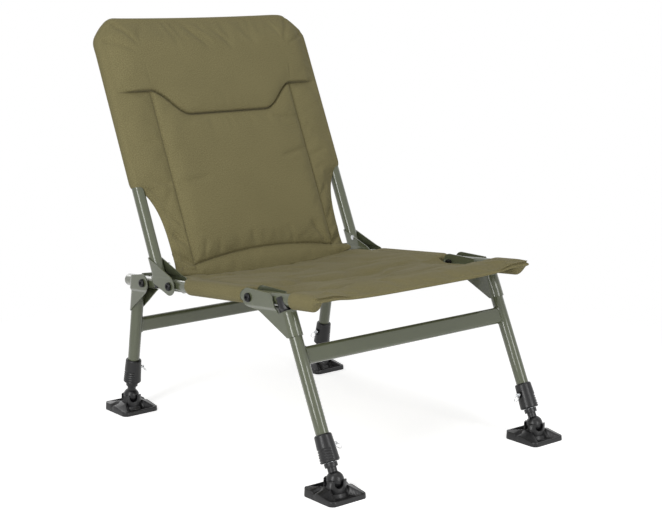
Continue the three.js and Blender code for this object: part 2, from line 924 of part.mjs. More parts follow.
// The line of the backrest tube's axis, with its own points and tangents
class BentTube extends THREE.Curve {
  constructor(low) {
    super();
    const cornerX = railX - backBendRadius;
    const cornerZ = backTop - backBendRadius;
    const bend = arc(cornerX, cornerZ, backBendRadius, 0, Math.PI / 2, bendSteps);
    const other = bend.map(([x, z]) => [-x, z]).reverse();
    this.points = [[railX, low], ...bend, ...other, [-railX, low]]
      .map(([x, z]) => new THREE.Vector3(x, backJoint.offset, z));
  }

  getPointAt(share) {
    return this.points[Math.round(share * (this.points.length - 1))].clone();
  }

  getTangentAt(share) {
    const index = Math.round(share * (this.points.length - 1));
    const before = this.points[Math.max(0, index - 1)];
    const here = this.points[index];
    const after = this.points[Math.min(this.points.length - 1, index + 1)];
    const into = here.clone().sub(before).normalize();
    const out = after.clone().sub(here).normalize();
    return into.add(out).normalize();
  }
}

function bentTube(radius, low, segments) {
  const route = new BentTube(low);
  const section = outline(arc(0, 0, radius, 0, 2 * Math.PI, segments).slice(0, -1));
  return solid(new THREE.ExtrudeGeometry(section, {
    steps: route.points.length - 1,
    extrudePath: route,
  }));
}

// One bent tube, open at both lower ends
function backrestTube() {
  const start = tubeStart(backJoint);
  return cut(
    bentTube(tubeRadius, start, tubeSides),
    bentTube(tubeBore, start - overrun, tubeSides),
  );
}

const sleeveRadius = tubeRadius + padOverTube;

// Half width of the pad: full over the sleeves, scalloped in below them, and rounded
// with the tube's bend above
function padHalf(height) {
  const bendStart = backTop - backBendRadius;
  if (height > bendStart) {
    const rise = Math.min(height - bendStart, backBendRadius);
    return railX - backBendRadius + Math.sqrt(backBendRadius ** 2 - rise ** 2);
  }
  const share = THREE.MathUtils.clamp(height / scallopHeight, 0, 1);
  return scallopHalf + (railX - scallopHalf) * share ** 5;
}

// Seams of the back pad: under the headrest, and above the lower flap
function headSeam(x) {
  const share = THREE.MathUtils.smoothstep(Math.abs(x), headSeamHalf, panelHalf);
  return headSeamHeight - headSeamDip * (1 - share);
}

function lowSeam(x) {
  const share = Math.min(1, Math.abs(x) / panelHalf);
  return lowSeamHeight + lowSeamArch * (1 - share * share);
}

// Lower edge of the flap, just clear of the seat's upper skin
function padLowEdge(x, y) {
  const seat = seatTop(x, pivotSpacing) + padLowGap;
  return railAt(backJoint, y) + seat / Math.cos(backJoint.lean);
}

const panelShares = [0, 0.3, 0.6, 0.88];
const borderShares = [0, 0.18, 0.5, 1];
const flapShares = [0, 0.5];
const panelRowShares = [0, 0.06, 0.3, 0.55, 0.72, 0.88, 0.96];
const headRowShares = [0, 0.08, 0.3, 0.6, 0.8, 0.93, 1];

function backPad() {
  const rightColumns = [
    ...panelShares.map((share) => ({ x: share * panelHalf, border: -1 })),
    ...borderShares.map((border) => ({ x: panelHalf, border })),
  ];
  const columns = [
    ...rightColumns.slice(1).reverse().map((column) => ({ ...column, sign: -1 })),
    ...rightColumns.map((column) => ({ ...column, sign: 1 })),
  ];
  const rows = [
    ...flapShares.map((share) => ({ zone: 'flap', share })),
    ...panelRowShares.map((share) => ({ zone: 'panel', share })),
    ...headRowShares.map((share) => ({ zone: 'head', share })),
  ];
  const place = (columnIndex, rowIndex, isFront) => {
    const { x, border, sign } = columns[columnIndex];
    const { zone, share } = rows[rowIndex];
    const nominal = border > 0 ? x + (railX - x) * border : x;
    const mix = THREE.MathUtils.lerp;
    const low = padLowEdge(nominal, isFront ? padLowFront : padLowBack);
    const height = {
      flap: mix(low, lowSeam(nominal), share),
      panel: mix(lowSeam(nominal), headSeam(nominal), share),
      head: mix(headSeam(nominal), backTop, share),
    }[zone];
    const reach = padHalf(height);
    const across = border > 0 ? x + (reach - x) * border : Math.min(x, reach);
    const onSeam = border === 0 || share === 0;
    const edge = THREE.MathUtils.clamp((reach - across) / (railX - panelHalf), 0, 1);
    const crown = onSeam ? -padSeam : padCrown * Math.sin(Math.PI * Math.min(1, share));
    // The border wraps the tube above the scallops and thins out below them
    const wrap = THREE.MathUtils.smoothstep(height, scallopHeight / 2, scallopHeight);
    const edgeFront = mix(scallopFront, sleeveRadius, wrap);
    const edgeBack = mix(scallopBack, sleeveRadius, wrap);
    const topFade = zone === 'head' ? 1 - share ** 4 : 1;
    const swell = (padFront - edgeFront) * Math.sqrt(edge) + crown * edge;
    const front = edgeFront + swell * topFade;
    const back = (edgeBack - padBack) * Math.sqrt(edge) * topFade - edgeBack;
    const flapBlend = zone === 'flap' ? 1 - share : 0;
    const offset = isFront
      ? mix(front, backJoint.offset - padLowFront, flapBlend)
      : mix(back, backJoint.offset - padLowBack, flapBlend);
    return new THREE.Vector3(sign * across, backJoint.offset - offset, height);
  };
  const filling = solid(blanket(
    columns.length,
    rows.length,
    (column, row) => place(column, row, true),
    (column, row) => place(column, row, false),
  ));
  const sleeve = bentTube(sleeveRadius, scallopHeight, smallSides);
  const room = bentTube(tubeRadius + seatGap, tubeStart(backJoint), smallSides);
  return cut(join(filling, sleeve), room);
}

// Assembly

const chair = new THREE.Group();
const seatFrame = new THREE.Group();
seatFrame.position.set(0, 0, frontPivotHeight);
seatFrame.rotation.x = -deg(railTilt);
chair.add(seatFrame);

function hingedFrame(y, turnX, turnY = 0) {
  const frame = new THREE.Group();
  frame.position.y = y;
  frame.rotation.set(turnX, turnY, 0);
  seatFrame.add(frame);
  return frame;
}

// Front and rear legs hang down, so their frames are turned over; the rear one is turned
// about the upright, which swaps its sides
const frontFrame = hingedFrame(0, Math.PI - frontJoint.lean);
const rearFrame = hingedFrame(pivotSpacing, rearJoint.lean, Math.PI);
const backFrame = hingedFrame(pivotSpacing - backPivotAdvance, -backJoint.lean);

function addAt(group, mesh, x, y = 0, z = 0, turnZ = 0) {
  mesh.position.set(x, y, z);
  mesh.rotation.z = turnZ;
  group.add(mesh);
  return mesh;
}

for (const [sideName, sign] of Object.entries(sideSigns)) {
  const x = sign * railX;
  addAt(seatFrame, piece(`rail_${sideName}`, rail(), paintedSteel()), x);
  addAt(seatFrame, piece(`rail_rear_cap_${sideName}`, railRearCap(), paintedSteel()), x);
  addAt(seatFrame, piece(`rail_front_plug_${sideName}`, railFrontPlug(), blackPlastic()), x);
}
seatFrame.add(piece('seat_sling', seatSling(), oliveCloth()));

const hinges = [
  { name: 'front', joint: frontJoint, frame: frontFrame, swap: 1, bracket: frontBracket },
  { name: 'rear', joint: rearJoint, frame: rearFrame, swap: -1, bracket: rearBracket },
  { name: 'back', joint: backJoint, frame: backFrame, swap: 1, bracket: backBracket },
];

for (const { name, joint, frame, swap, bracket } of hinges) {
  for (const [sideName, sign] of Object.entries(sideSigns)) {
    const out = sign * swap;
    const turn = out > 0 ? 0 : Math.PI;
    const x = out * railX;
    addAt(frame, piece(`${name}_bracket_${sideName}`, bracket(), paintedSteel()), x);
    addAt(frame, piece(`${name}_saddle_${sideName}`, saddle(joint), blackPlastic()), x);
    addAt(frame, piece(`${name}_pivot_${sideName}`, pivotBolt(), blackSteel()), x, 0, 0, turn);
  }
}

frontFrame.add(piece('front_crossbar', crossbar(frontJoint, frontBarDrop), paintedSteel()));
rearFrame.add(piece('rear_crossbar', crossbar(rearJoint, rearBarDrop), paintedSteel()));
backFrame.add(piece('backrest_tube', backrestTube(), paintedSteel()));
backFrame.add(piece('back_pad', backPad(), oliveCloth()));

chair.updateMatrixWorld(true);

for (const { name, joint, frame, swap } of hinges.slice(0, 2)) {
  for (const [sideName, sign] of Object.entries(sideSigns)) {
    const foot = `${name}_${sideName}`;
    const out = sign * swap;
    const turn = out > 0 ? 0 : Math.PI;
    const x = out * railX;
    const y = joint.offset;
    const pin = pinHeightOf(joint);
    addAt(frame, piece(`${name}_leg_${sideName}`, outerLeg(joint), paintedSteel()), x, y, 0, turn);
    addAt(frame, piece(`leg_collar_${foot}`, legCollar(joint), blackPlastic()), x, y, 0, turn);
    addAt(frame, piece(`pull_pin_${foot}`, pullPin(), brightSteel()), x, y, pin, turn);
    addAt(frame, piece(`pull_ring_${foot}`, pullRing(), brightSteel()), x, y, pin, turn);
    addAt(frame, piece(`inner_leg_${foot}`, innerLeg(joint), brightSteel()), x, y, 0, turn);
    addAt(frame, piece(`ball_stud_${foot}`, ballStud(), blackPlastic()), x, y, joint.footDistance);
    const ball = frame.localToWorld(new THREE.Vector3(x, y, joint.footDistance));
    addAt(chair, piece(`foot_pad_${foot}`, footPad(), blackPlastic()), ball.x, ball.y, ball.z);
  }
}

// The origin stands on the floor, in the middle of the whole chair
chair.updateMatrixWorld(true);
const bounds = new THREE.Box3().setFromObject(chair, true);
chair.position.y = -(bounds.min.y + bounds.max.y) / 2;

export default chair;
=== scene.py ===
"""Carp fishing chair, dressed for the render.

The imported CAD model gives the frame. Every shown piece is built here in metres, in the
same frame, with smooth forms, sewn cloth and procedural finishes.
"""

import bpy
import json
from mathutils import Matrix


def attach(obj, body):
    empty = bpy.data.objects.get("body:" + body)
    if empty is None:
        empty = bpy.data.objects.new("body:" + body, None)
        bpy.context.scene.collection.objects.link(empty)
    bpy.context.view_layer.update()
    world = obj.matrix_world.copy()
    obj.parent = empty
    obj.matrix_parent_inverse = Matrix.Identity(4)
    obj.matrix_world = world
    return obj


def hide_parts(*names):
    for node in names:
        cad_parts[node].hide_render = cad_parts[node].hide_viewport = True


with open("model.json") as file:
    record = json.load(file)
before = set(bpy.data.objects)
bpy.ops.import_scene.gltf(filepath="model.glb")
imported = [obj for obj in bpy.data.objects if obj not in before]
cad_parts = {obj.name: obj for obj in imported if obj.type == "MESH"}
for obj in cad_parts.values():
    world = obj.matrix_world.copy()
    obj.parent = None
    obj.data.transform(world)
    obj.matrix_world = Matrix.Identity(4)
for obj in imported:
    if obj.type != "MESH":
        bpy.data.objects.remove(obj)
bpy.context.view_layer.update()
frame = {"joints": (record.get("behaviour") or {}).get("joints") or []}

import json
import logging
import math
from dataclasses import dataclass, field
from enum import Enum
from typing import Any, Callable, Iterable, Sequence

import bmesh
import bpy
from mathutils import Matrix, Vector, noise
from mathutils.bvhtree import BVHTree

LOG = logging.getLogger("chair")

Point = tuple[float, float]
Mesh = bpy.types.Mesh

MERGE = 1e-6
"""Points closer than this are one."""


# Colours and nodes


def linear(code: str) -> tuple[float, float, float, float]:
    """Turns an sRGB hex code into a linear colour.

    Args:
        code: six hex digits, such as "6b6e60".

    Returns:
        Linear red, green and blue, and an alpha of 1.
    """
    values = [int(code[i : i + 2], 16) / 255 for i in (0, 2, 4)]
    lin = [v / 12.92 if v <= 0.04045 else ((v + 0.055) / 1.055) ** 2.4 for v in values]
    return (lin[0], lin[1], lin[2], 1.0)


def feed(tree: bpy.types.NodeTree, node: Any, links: dict[Any, Any]) -> None:
    """Sets each input of a node, or links it to the output socket given for it.

    Args:
        tree: the node tree that holds the node.
        node: the node.
        links: input name or number to a value, or to the output socket that feeds it.
    """
    for key, value in links.items():
        if isinstance(value, bpy.types.NodeSocket):
            tree.links.new(value, node.inputs[key])
        else:
            node.inputs[key].default_value = value


def add(tree: bpy.types.NodeTree, kind: str, links: dict[Any, Any] | None = None, **settings: Any) -> Any:
    """Adds a node to a tree, with its settings and the values or links of its inputs.

    Args:
        tree: the node tree that gets the node.
        kind: the node's type name.
        links: input name or number to a value, or to the output socket that feeds it.
        **settings: the node's own properties.

    Returns:
        The new node.
    """
    made = tree.nodes.new(kind)
    for key, value in settings.items():
        setattr(made, key, value)
    feed(tree, made, links or {})
    return made


def cleared(owner: Any) -> bpy.types.NodeTree:
    """Gives a material or a world an empty node tree.

    Args:
        owner: the material or world.

    Returns:
        Its node tree.
    """
    owner.use_nodes = True
    owner.node_tree.nodes.clear()
    return owner.node_tree


def own_place(tree: bpy.types.NodeTree) -> Any:
    """Gives the object's own coordinates."""
    return add(tree, "ShaderNodeTexCoord").outputs["Object"]


def grain(tree: bpy.types.NodeTree, place: Any, scale: float, detail: float = 2.0) -> Any:
    """Gives noise of a scale over a place."""
    return add(tree, "ShaderNodeTexNoise", {"Vector": place, "Scale": scale, "Detail": detail}).outputs["Fac"]


def mixed(tree: bpy.types.NodeTree, share: Any, first: Any, second: Any) -> Any:
    """Mixes two colours, each a hex code or an output socket."""
    first, second = (linear(c) if isinstance(c, str) else c for c in (first, second))
    return add(tree, "ShaderNodeMix", {0: share, 6: first, 7: second}, data_type="RGBA").outputs[2]


def smeared(tree: bpy.types.NodeTree, share: Any, middle: float, spread: Point) -> Any:
    """Spreads a value, such as a roughness, below and above its middle."""
    links = {"Value": share, 3: middle + spread[0], 4: middle + spread[1]}
    return add(tree, "ShaderNodeMapRange", links).outputs[0]


def bumped(tree: bpy.types.NodeTree, height: Any, strength: float, depth: float) -> Any:
    """Turns a height into a bumped normal."""
    return add(tree, "ShaderNodeBump", {"Height": height, "Strength": strength, "Distance": depth}).outputs[0]


def reckoned(tree: bpy.types.NodeTree, operation: str, *values: Any) -> Any:
    """Works one sum on values or output sockets."""
    return add(tree, "ShaderNodeMath", dict(enumerate(values)), operation=operation).outputs[0]


class Finish:
    """A finish that makes its material once and hands out the same one after that."""

    _made: dict[str, bpy.types.Material] = {}

    def material(self) -> bpy.types.Material:
        """Gives the finish's material, made on first use.

        Returns:
            The material.
        """
        name = self.label
        if name not in Finish._made:
            made = bpy.data.materials.new(name)
            tree = cleared(made)
            shader = add(tree, "ShaderNodeBsdfPrincipled")
            add(tree, "ShaderNodeOutputMaterial", {0: shader.outputs[0]})
            feed(tree, shader, self.look(tree))
            Finish._made[name] = made
        return Finish._made[name]

    def look(self, tree: bpy.types.NodeTree) -> dict[str, Any]:
        """Values and sockets for the shader's inputs; each finish has its own."""
        raise NotImplementedError


@dataclass(frozen=True)
class PowderCoat(Finish):
    """Satin polyester powder coat on steel tube: even colour, faint orange peel."""

    label: str = "olive_powder_coat"
    slot: str = "olive_paint"
    colour: str = "575c45"
    shade: str = "4d523d"
    drift: float = 22.0
    roughness: float = 0.32
    smear: Point = (-0.04, 0.06)
    peel: float = 0.0016
    peel_strength: float = 0.012
    peel_depth: float = 0.0001
    specular: float = 0.3
    coat: float = 0.85
    coat_roughness: float = 0.08

    def look(self, tree: bpy.types.NodeTree) -> dict[str, Any]:
        """Lays slow colour drift and a fine orange-peel bump.

        Args:
            tree: the material's node tree.

        Returns:
            The Principled shader's inputs by name.
        """
        place = own_place(tree)
        drift = grain(tree, place, self.drift, 3.0)
        peel = grain(tree, place, 1 / self.peel)
        return {
            "Base Color": mixed(tree, drift, self.colour, self.shade),
            "Roughness": smeared(tree, drift, self.roughness, self.smear),
            "Normal": bumped(tree, peel, self.peel_strength, self.peel_depth),
            "Metallic": 0.0,
            "Specular IOR Level": self.specular,
            "Coat Weight": self.coat,
            "Coat Roughness": self.coat_roughness,
        }


@dataclass(frozen=True)
class MouldedNylon(Finish):
    """Injection-moulded black nylon: spark-eroded satin, a little lighter where it is rubbed."""

    label: str = "black_nylon"
    slot: str = "black_plastic"
    colour: str = "0d0d0e"
    rubbed: str = "171718"
    patches: float = 60.0
    roughness: float = 0.35
    smear: Point = (-0.08, 0.08)
    grain: float = 0.0009
    grain_strength: float = 0.07
    grain_depth: float = 0.0002
    specular: float = 0.42

    def look(self, tree: bpy.types.NodeTree) -> dict[str, Any]:
        """Lays a fine spark-eroded grain and slow patches of wear.

        Args:
            tree: the material's node tree.

        Returns:
            The Principled shader's inputs by name.
        """
        place = own_place(tree)
        patches = grain(tree, place, self.patches, 4.0)
        fine = grain(tree, place, 1 / self.grain)
        return {
            "Base Color": mixed(tree, patches, self.colour, self.rubbed),
            "Roughness": smeared(tree, patches, self.roughness, self.smear),
            "Normal": bumped(tree, fine, self.grain_strength, self.grain_depth),
            "Specular IOR Level": self.specular,
        }


@dataclass(frozen=True)
class PlatedSteel(Finish):
    """Plated or blackened steel fastener: turned or drawn, so finely streaked."""

    label: str = "bright_zinc"
    slot: str = "bright_steel"
    colour: str = "cfd1d3"
    metallic: float = 1.0
    roughness: float = 0.24
    smear: Point = (-0.06, 0.1)
    streak: float = 0.0012
    streak_strength: float = 0.06
    streak_depth: float = 0.0002

    def look(self, tree: bpy.types.NodeTree) -> dict[str, Any]:
        """Lays a fine streak in the roughness and a slight bump.

        Args:
            tree: the material's node tree.

        Returns:
            The Principled shader's inputs by name.
        """
        streak = grain(tree, own_place(tree), 1 / self.streak, 3.0)
        return {
            "Base Color": linear(self.colour),
            "Metallic": self.metallic,
            "Roughness": smeared(tree, streak, self.roughness, self.smear),
            "Normal": bumped(tree, streak, self.streak_strength, self.streak_depth),
        }


@dataclass(frozen=True)
class WovenPolyester(Finish):
    """Coated 600-denier polyester, plain weave: matt, slightly mottled, soft sheen.

    The real threads are taken to lie 0.7 mm apart; they are drawn 1.5 mm apart so that they show.
    """

    label: str = "olive_polyester"
    slot: str = "cloth"
    colour: str = "716a49"
    shade: str = "5c563a"
    light: str = "8f8761"
    drift: float = 9.0
    speckle: float = 540.0
    speckle_range: tuple[float, float, float, float] = (0.34, 0.66, 0.0, 0.75)
    pitch: float = 0.0015
    weave_strength: float = 0.05
    weave_depth: float = 0.0003
    roughness: float = 0.86
    specular: float = 0.14
    sheen: float = 0.06
    sheen_roughness: float = 0.45

    def look(self, tree: bpy.types.NodeTree) -> dict[str, Any]:
        """Weaves warp and weft from the cloth's own map, in metres, and mottles the dye.

        Args:
            tree: the material's node tree.

        Returns:
            The Principled shader's inputs by name.
        """
        flat = add(tree, "ShaderNodeUVMap", uv_map="cloth").outputs[0]
        axes = add(tree, "ShaderNodeSeparateXYZ", {0: flat}).outputs
        waves = [reckoned(tree, "SINE", reckoned(tree, "MULTIPLY", axes[axis], math.pi / self.pitch))
                 for axis in (0, 1)]
        weave = reckoned(tree, "MULTIPLY", *waves)
        speckle = grain(tree, flat, self.speckle, 3.0)
        dyed = mixed(tree, grain(tree, flat, self.drift), self.colour, self.shade)
        limits = {1 + k: limit for k, limit in enumerate(self.speckle_range)}
        spread = add(tree, "ShaderNodeMapRange", {"Value": speckle, **limits}).outputs[0]
        relief = reckoned(tree, "ADD", weave, speckle)
        return {
            "Base Color": mixed(tree, spread, dyed, self.light),
            "Normal": bumped(tree, relief, self.weave_strength, self.weave_depth),
            "Roughness": self.roughness,
            "Specular IOR Level": self.specular,
            "Sheen Weight": self.sheen,
            "Sheen Roughness": self.sheen_roughness,
        }


@dataclass(frozen=True)
class SewingThread(Finish):
    """Bonded polyester sewing thread: twisted, a shade darker than the cloth."""

    label: str = "olive_thread"
    slot: str = "cloth"
    colour: str = "5d583f"
    twist: float = 1500.0
    twist_strength: float = 0.2
    twist_depth: float = 0.0002
    roughness: float = 0.6

    def look(self, tree: bpy.types.NodeTree) -> dict[str, Any]:
        """Lays the twist as a fine bump.

        Args:
            tree: the material's node tree.

        Returns:
            The Principled shader's inputs by name.
        """
        twist = grain(tree, own_place(tree), self.twist)
        return {
            "Base Color": linear(self.colour),
            "Normal": bumped(tree, twist, self.twist_strength, self.twist_depth),
            "Roughness": self.roughness,
        }


class Dress(Enum):
    """The finishes of the chair's pieces."""

    PAINT = PowderCoat()
    NYLON = MouldedNylon()
    BLACK_STEEL = PlatedSteel(
        label="black_oxide", slot="black_steel", colour="161617", metallic=0.6, roughness=0.3
    )
    BRIGHT = PlatedSteel()
    DRAWN_TUBE = PlatedSteel(label="drawn_zinc_tube", colour="b9bcbf", roughness=0.3, streak=0.004)
    CLOTH = WovenPolyester()
    THREAD = SewingThread()


# Mesh making


def smooth(value: float, low: float, high: float) -> float:
    """Rises from 0 at low to 1 at high, easing at both ends."""
    share = min(1.0, max(0.0, (value - low) / (high - low)))
    return share * share * (3 - 2 * share)


def mix(first: float, second: float, share: float) -> float:
    """Goes from first to second as share goes from 0 to 1."""
    return first + (second - first) * share


def mesh_from(verts: Sequence[Any], faces: Sequence[Sequence[int]], outward: bool = True) -> Mesh:
    """Makes a mesh, merged and with its faces pointing out.

    Args:
        verts: the points.
        faces: point numbers of each face.
        outward: whether to work the normals out anew.

    Returns:
        The mesh.
    """
    mesh = bpy.data.meshes.new("shape")
    mesh.from_pydata([tuple(v) for v in verts], [], [tuple(f) for f in faces])
    return outwards(mesh, MERGE, outward)


def outwards(mesh: Mesh, merge: float = 0.0, turn: bool = True) -> Mesh:
    """Merges a mesh's doubled points and turns its faces outward, in place.

    Args:
        mesh: the mesh to mend.
        merge: how close two points are to be one; 0 merges none.
        turn: whether to turn the faces.

    Returns:
        The same mesh.
    """
    work = bmesh.new()
    work.from_mesh(mesh)
    if merge:
        bmesh.ops.remove_doubles(work, verts=work.verts, dist=merge)
    if turn:
        bmesh.ops.recalc_face_normals(work, faces=work.faces)
    work.to_mesh(mesh)
    work.free()
    return mesh


def bridged(low: Sequence[int], high: Sequence[int]) -> list[list[int]]:
    """Joins two rings by faces.

    Args:
        low: point numbers of one ring.
        high: point numbers of the next, as many.

    Returns:
        The faces, without corners that fall together.
    """
    count = len(low)
    sides = [(low[k], low[(k + 1) % count], high[(k + 1) % count], high[k]) for k in range(count)]
    return [face for face in (list(dict.fromkeys(side)) for side in sides) if len(face) > 2]


def loft(rings: Sequence[Sequence[Any]]) -> Mesh:
    """Joins rings of points one after the other, and closes both ends.

    Args:
        rings: the rings, each with as many points.

    Returns:
        The closed mesh.
    """
    count = len(rings[0])
    numbers = [list(range(r * count, (r + 1) * count)) for r in range(len(rings))]
    faces = [face for low, high in zip(numbers, numbers[1:]) for face in bridged(low, high)]
    return mesh_from([point for ring in rings for point in ring], faces + [numbers[0][::-1], numbers[-1]])


def linked(name: str, data: Any) -> bpy.types.Object:
    """Makes an object and puts it in the scene.

    Args:
        name: the object's name.
        data: its mesh, camera or light.

    Returns:
        The object.
    """
    made = bpy.data.objects.new(name, data)
    bpy.context.scene.collection.objects.link(made)
    return made


def moved(mesh: Mesh, matrix: Matrix) -> Mesh:
    """Gives a copy of a mesh, moved by a matrix that doesn't mirror.

    Args:
        mesh: the mesh to copy.
        matrix: where the copy goes; it doesn't mirror.

    Returns:
        The moved copy.
    """
    copy = mesh.copy()
    copy.transform(matrix)
    return copy


def fillet(points: Sequence[Point], radius: float, steps: int = 3, closed: bool = False) -> list[Point]:
    """Rounds the corners of a line of points.

    Args:
        points: the corners.
        radius: how far from its corner each curve starts.
        steps: pieces in each curve.
        closed: whether the last point joins the first.

    Returns:
        The rounded line.
    """
    out: list[Point] = []
    count = len(points)
    for i, corner in enumerate(points):
        here = Vector(corner)
        if not closed and i in (0, count - 1):
            out.append(tuple(here))
            continue
        before = Vector(points[i - 1]) - here
        after = Vector(points[(i + 1) % count]) - here
        reach = min(radius, before.length * 0.45, after.length * 0.45)
        start = here + before.normalized() * reach
        end = here + after.normalized() * reach
        for k in range(steps + 1):
            t = k / steps
            out.append(tuple(start * (1 - t) ** 2 + here * (2 * t * (1 - t)) + end * t**2))
    return out


def arc(across: float, up: float, radius: float, start: float, end: float, steps: int) -> list[Point]:
    """Points of an arc round (across, up), angles in degrees, both ends included."""
    angles = [math.radians(start + (end - start) * k / steps) for k in range(steps + 1)]
    return [(across + radius * math.cos(a), up + radius * math.sin(a)) for a in angles]


def lathe(profile: Sequence[Point], segments: int = 40) -> Mesh:
    """Turns a profile of (radius, height) about Z.

    Args:
        profile: from axis to axis, or a loop whose last point is its first.
        segments: steps round the axis.

    Returns:
        The turned mesh.
    """
    verts: list[tuple[float, float, float]] = []
    rings: list[list[int]] = []
    for radius, height in profile:
        if radius < 1e-7:
            verts.append((0.0, 0.0, height))
            rings.append([len(verts) - 1] * segments)
            continue
        ring = []
        for k in range(segments):
            angle = 2 * math.pi * k / segments
            verts.append((radius * math.cos(angle), radius * math.sin(angle), height))
            ring.append(len(verts) - 1)
        rings.append(ring)
    return mesh_from(verts, [face for low, high in zip(rings, rings[1:]) for face in bridged(low, high)])


def rod(radius: float, low: float, high: float, segments: int = 40, edge: float = 0.0) -> Mesh:
    """A cylinder along Z, its rims rounded by edge."""
    corners = [(0.0, low), (radius, low), (radius, high), (0.0, high)]
    return lathe(fillet(corners, edge) if edge else corners, segments)


def pipe(
    outer: float, inner: float, low: float, high: float, segments: int = 48, edge: float = 0.0004
) -> Mesh:
    """An open tube along Z with rounded rims."""
    loop = fillet([(inner, low), (outer, low), (outer, high), (inner, high)], edge, 2, closed=True)
    return lathe(loop + loop[:1], segments)


def sweep(path: Sequence[Vector], radius: float, sides: int = 12, closed: bool = False) -> Mesh:
    """Carries a circle along a path, without twist.

    Args:
        path: the points of the centre line.
        radius: the circle's radius.
        sides: the circle's sides.
        closed: whether the path joins up.

    Returns:
        The swept mesh, capped where the path is open.
    """
    count = len(path)
    tangents = []
    for i in range(count):
        before = path[i - 1] if closed or i else path[0]
        after = path[(i + 1) % count] if closed or i < count - 1 else path[-1]
        tangents.append((after - before).normalized())
    side = tangents[0].orthogonal().normalized()
    verts, rings = [], []
    for i in range(count):
        side = (side - tangents[i] * side.dot(tangents[i])).normalized()
        up = tangents[i].cross(side)
        ring = []
        for k in range(sides):
            angle = 2 * math.pi * k / sides
            verts.append(path[i] + side * (radius * math.cos(angle)) + up * (radius * math.sin(angle)))
            ring.append(len(verts) - 1)
        rings.append(ring)
    shift = 0
    if closed:
        gaps = [(verts[rings[-1][k]] - verts[rings[0][0]]).length for k in range(sides)]
        shift = gaps.index(min(gaps))
    faces = []
    for i in range(count if closed else count - 1):
        low, high = rings[i], rings[(i + 1) % count]
        if closed and i == count - 1:
            low = low[shift:] + low[:shift]
        faces += bridged(low, high)
    if not closed:
        faces += [list(reversed(rings[0])), rings[-1]]
    return mesh_from(verts, faces)


def prism(outline: Sequence[Point], low: float, high: float) -> Mesh:
    """Pushes an outline up along Z from low to high."""
    return loft([[(x, y, z) for x, y in outline] for z in (low, high)])


SIDEWAYS = Matrix(((0, 0, 1, 0), (1, 0, 0, 0), (0, 1, 0, 0), (0, 0, 0, 1)))
"""Takes an outline drawn in X and Y, pushed along Z, to Y and Z, pushed along X."""


def side_prism(outline: Sequence[Point], low: float, high: float) -> Mesh:
    """Pushes an outline drawn in Y and Z out along X."""
    return moved(prism(outline, low, high), SIDEWAYS)


def box(size: Sequence[float], centre: Sequence[float]) -> Mesh:
    """A block of that size about that centre.

    Args:
        size: the lengths along X, Y and Z.
        centre: the middle.

    Returns:
        The block.
    """
    x, y = size[0] / 2, size[1] / 2
    block = prism([(-x, -y), (x, -y), (x, y), (-x, y)], -size[2] / 2, size[2] / 2)
    return moved(block, Matrix.Translation(centre))


def along_x(mesh: Mesh) -> Mesh:
    """Lays a shape drawn along Z down along X."""
    return moved(mesh, Matrix.Rotation(math.pi / 2, 4, "Y"))


def along_y(mesh: Mesh) -> Mesh:
    """Lays a shape drawn along Z down along Y."""
    return moved(mesh, Matrix.Rotation(-math.pi / 2, 4, "X"))


def rounded_square(width: float, height: float, radius: float, steps: int = 6) -> list[Point]:
    """An outline with quarter-round corners.

    Args:
        width: the whole width.
        height: the whole height.
        radius: the corners' radius.
        steps: pieces in each corner.

    Returns:
        The outline, counter-clockwise.
    """
    x, y = width / 2 - radius, height / 2 - radius
    return (
        arc(x, y, radius, 0, 90, steps)
        + arc(-x, y, radius, 90, 180, steps)
        + arc(-x, -y, radius, 180, 270, steps)
        + arc(x, -y, radius, 270, 360, steps)
    )


def applied(mesh: Mesh, change: Callable[[bpy.types.Object], None]) -> Mesh:
    """Puts modifiers on a mesh for a moment and gives the evaluated result.

    Args:
        mesh: the mesh to start from.
        change: adds the modifiers to the object it is given.

    Returns:
        A new plain mesh.
    """
    holder = linked("work", mesh)
    change(holder)
    bpy.context.view_layer.update()
    seen = holder.evaluated_get(bpy.context.evaluated_depsgraph_get())
    result = bpy.data.meshes.new_from_object(seen)
    bpy.data.objects.remove(holder)
    return result


class Cut(Enum):
    """How one solid works on another."""

    AWAY = "DIFFERENCE"
    WITH = "UNION"
    COMMON = "INTERSECT"


def carve(body: Mesh, tools: Iterable[Mesh], how: Cut = Cut.AWAY) -> Mesh:
    """Works a row of solids on a body, one after the other.

    Args:
        body: the solid that stays.
        tools: the solids that cut, join or bound it.
        how: which of these.

    Returns:
        The result.
    """
    for tool in tools:
        other = linked("tool", tool)

        def change(holder: bpy.types.Object) -> None:
            """Adds the boolean."""
            step = holder.modifiers.new("cut", "BOOLEAN")
            step.operation, step.object, step.solver = how.value, other, "EXACT"

        body = applied(body, change)
        bpy.data.objects.remove(other)
    return body


def softened(mesh: Mesh, width: float, steps: int = 2, angle: float = 32.0) -> Mesh:
    """Rounds every edge sharper than angle by width, keeping the flats flat.

    Args:
        mesh: the mesh to work on.
        width: the width of the rounding.
        steps: pieces in each rounding.
        angle: edges bent by less than this many degrees stay.

    Returns:
        The rounded mesh.
    """

    def change(holder: bpy.types.Object) -> None:
        """Adds the bevel."""
        for polygon in holder.data.polygons:
            polygon.use_smooth = True
        step = holder.modifiers.new("edge", "BEVEL")
        step.width, step.segments = width, steps
        step.limit_method, step.angle_limit = "ANGLE", math.radians(angle)
        step.harden_normals, step.use_clamp_overlap = True, True

    return applied(mesh, change)


def joined(meshes: Sequence[Mesh]) -> Mesh:
    """Puts several meshes in one, without cutting them.

    Args:
        meshes: the meshes.

    Returns:
        One mesh of them all.
    """
    work = bmesh.new()
    for mesh in meshes:
        work.from_mesh(mesh)
    whole = bpy.data.meshes.new("shape")
    work.to_mesh(whole)
    work.free()
    return whole


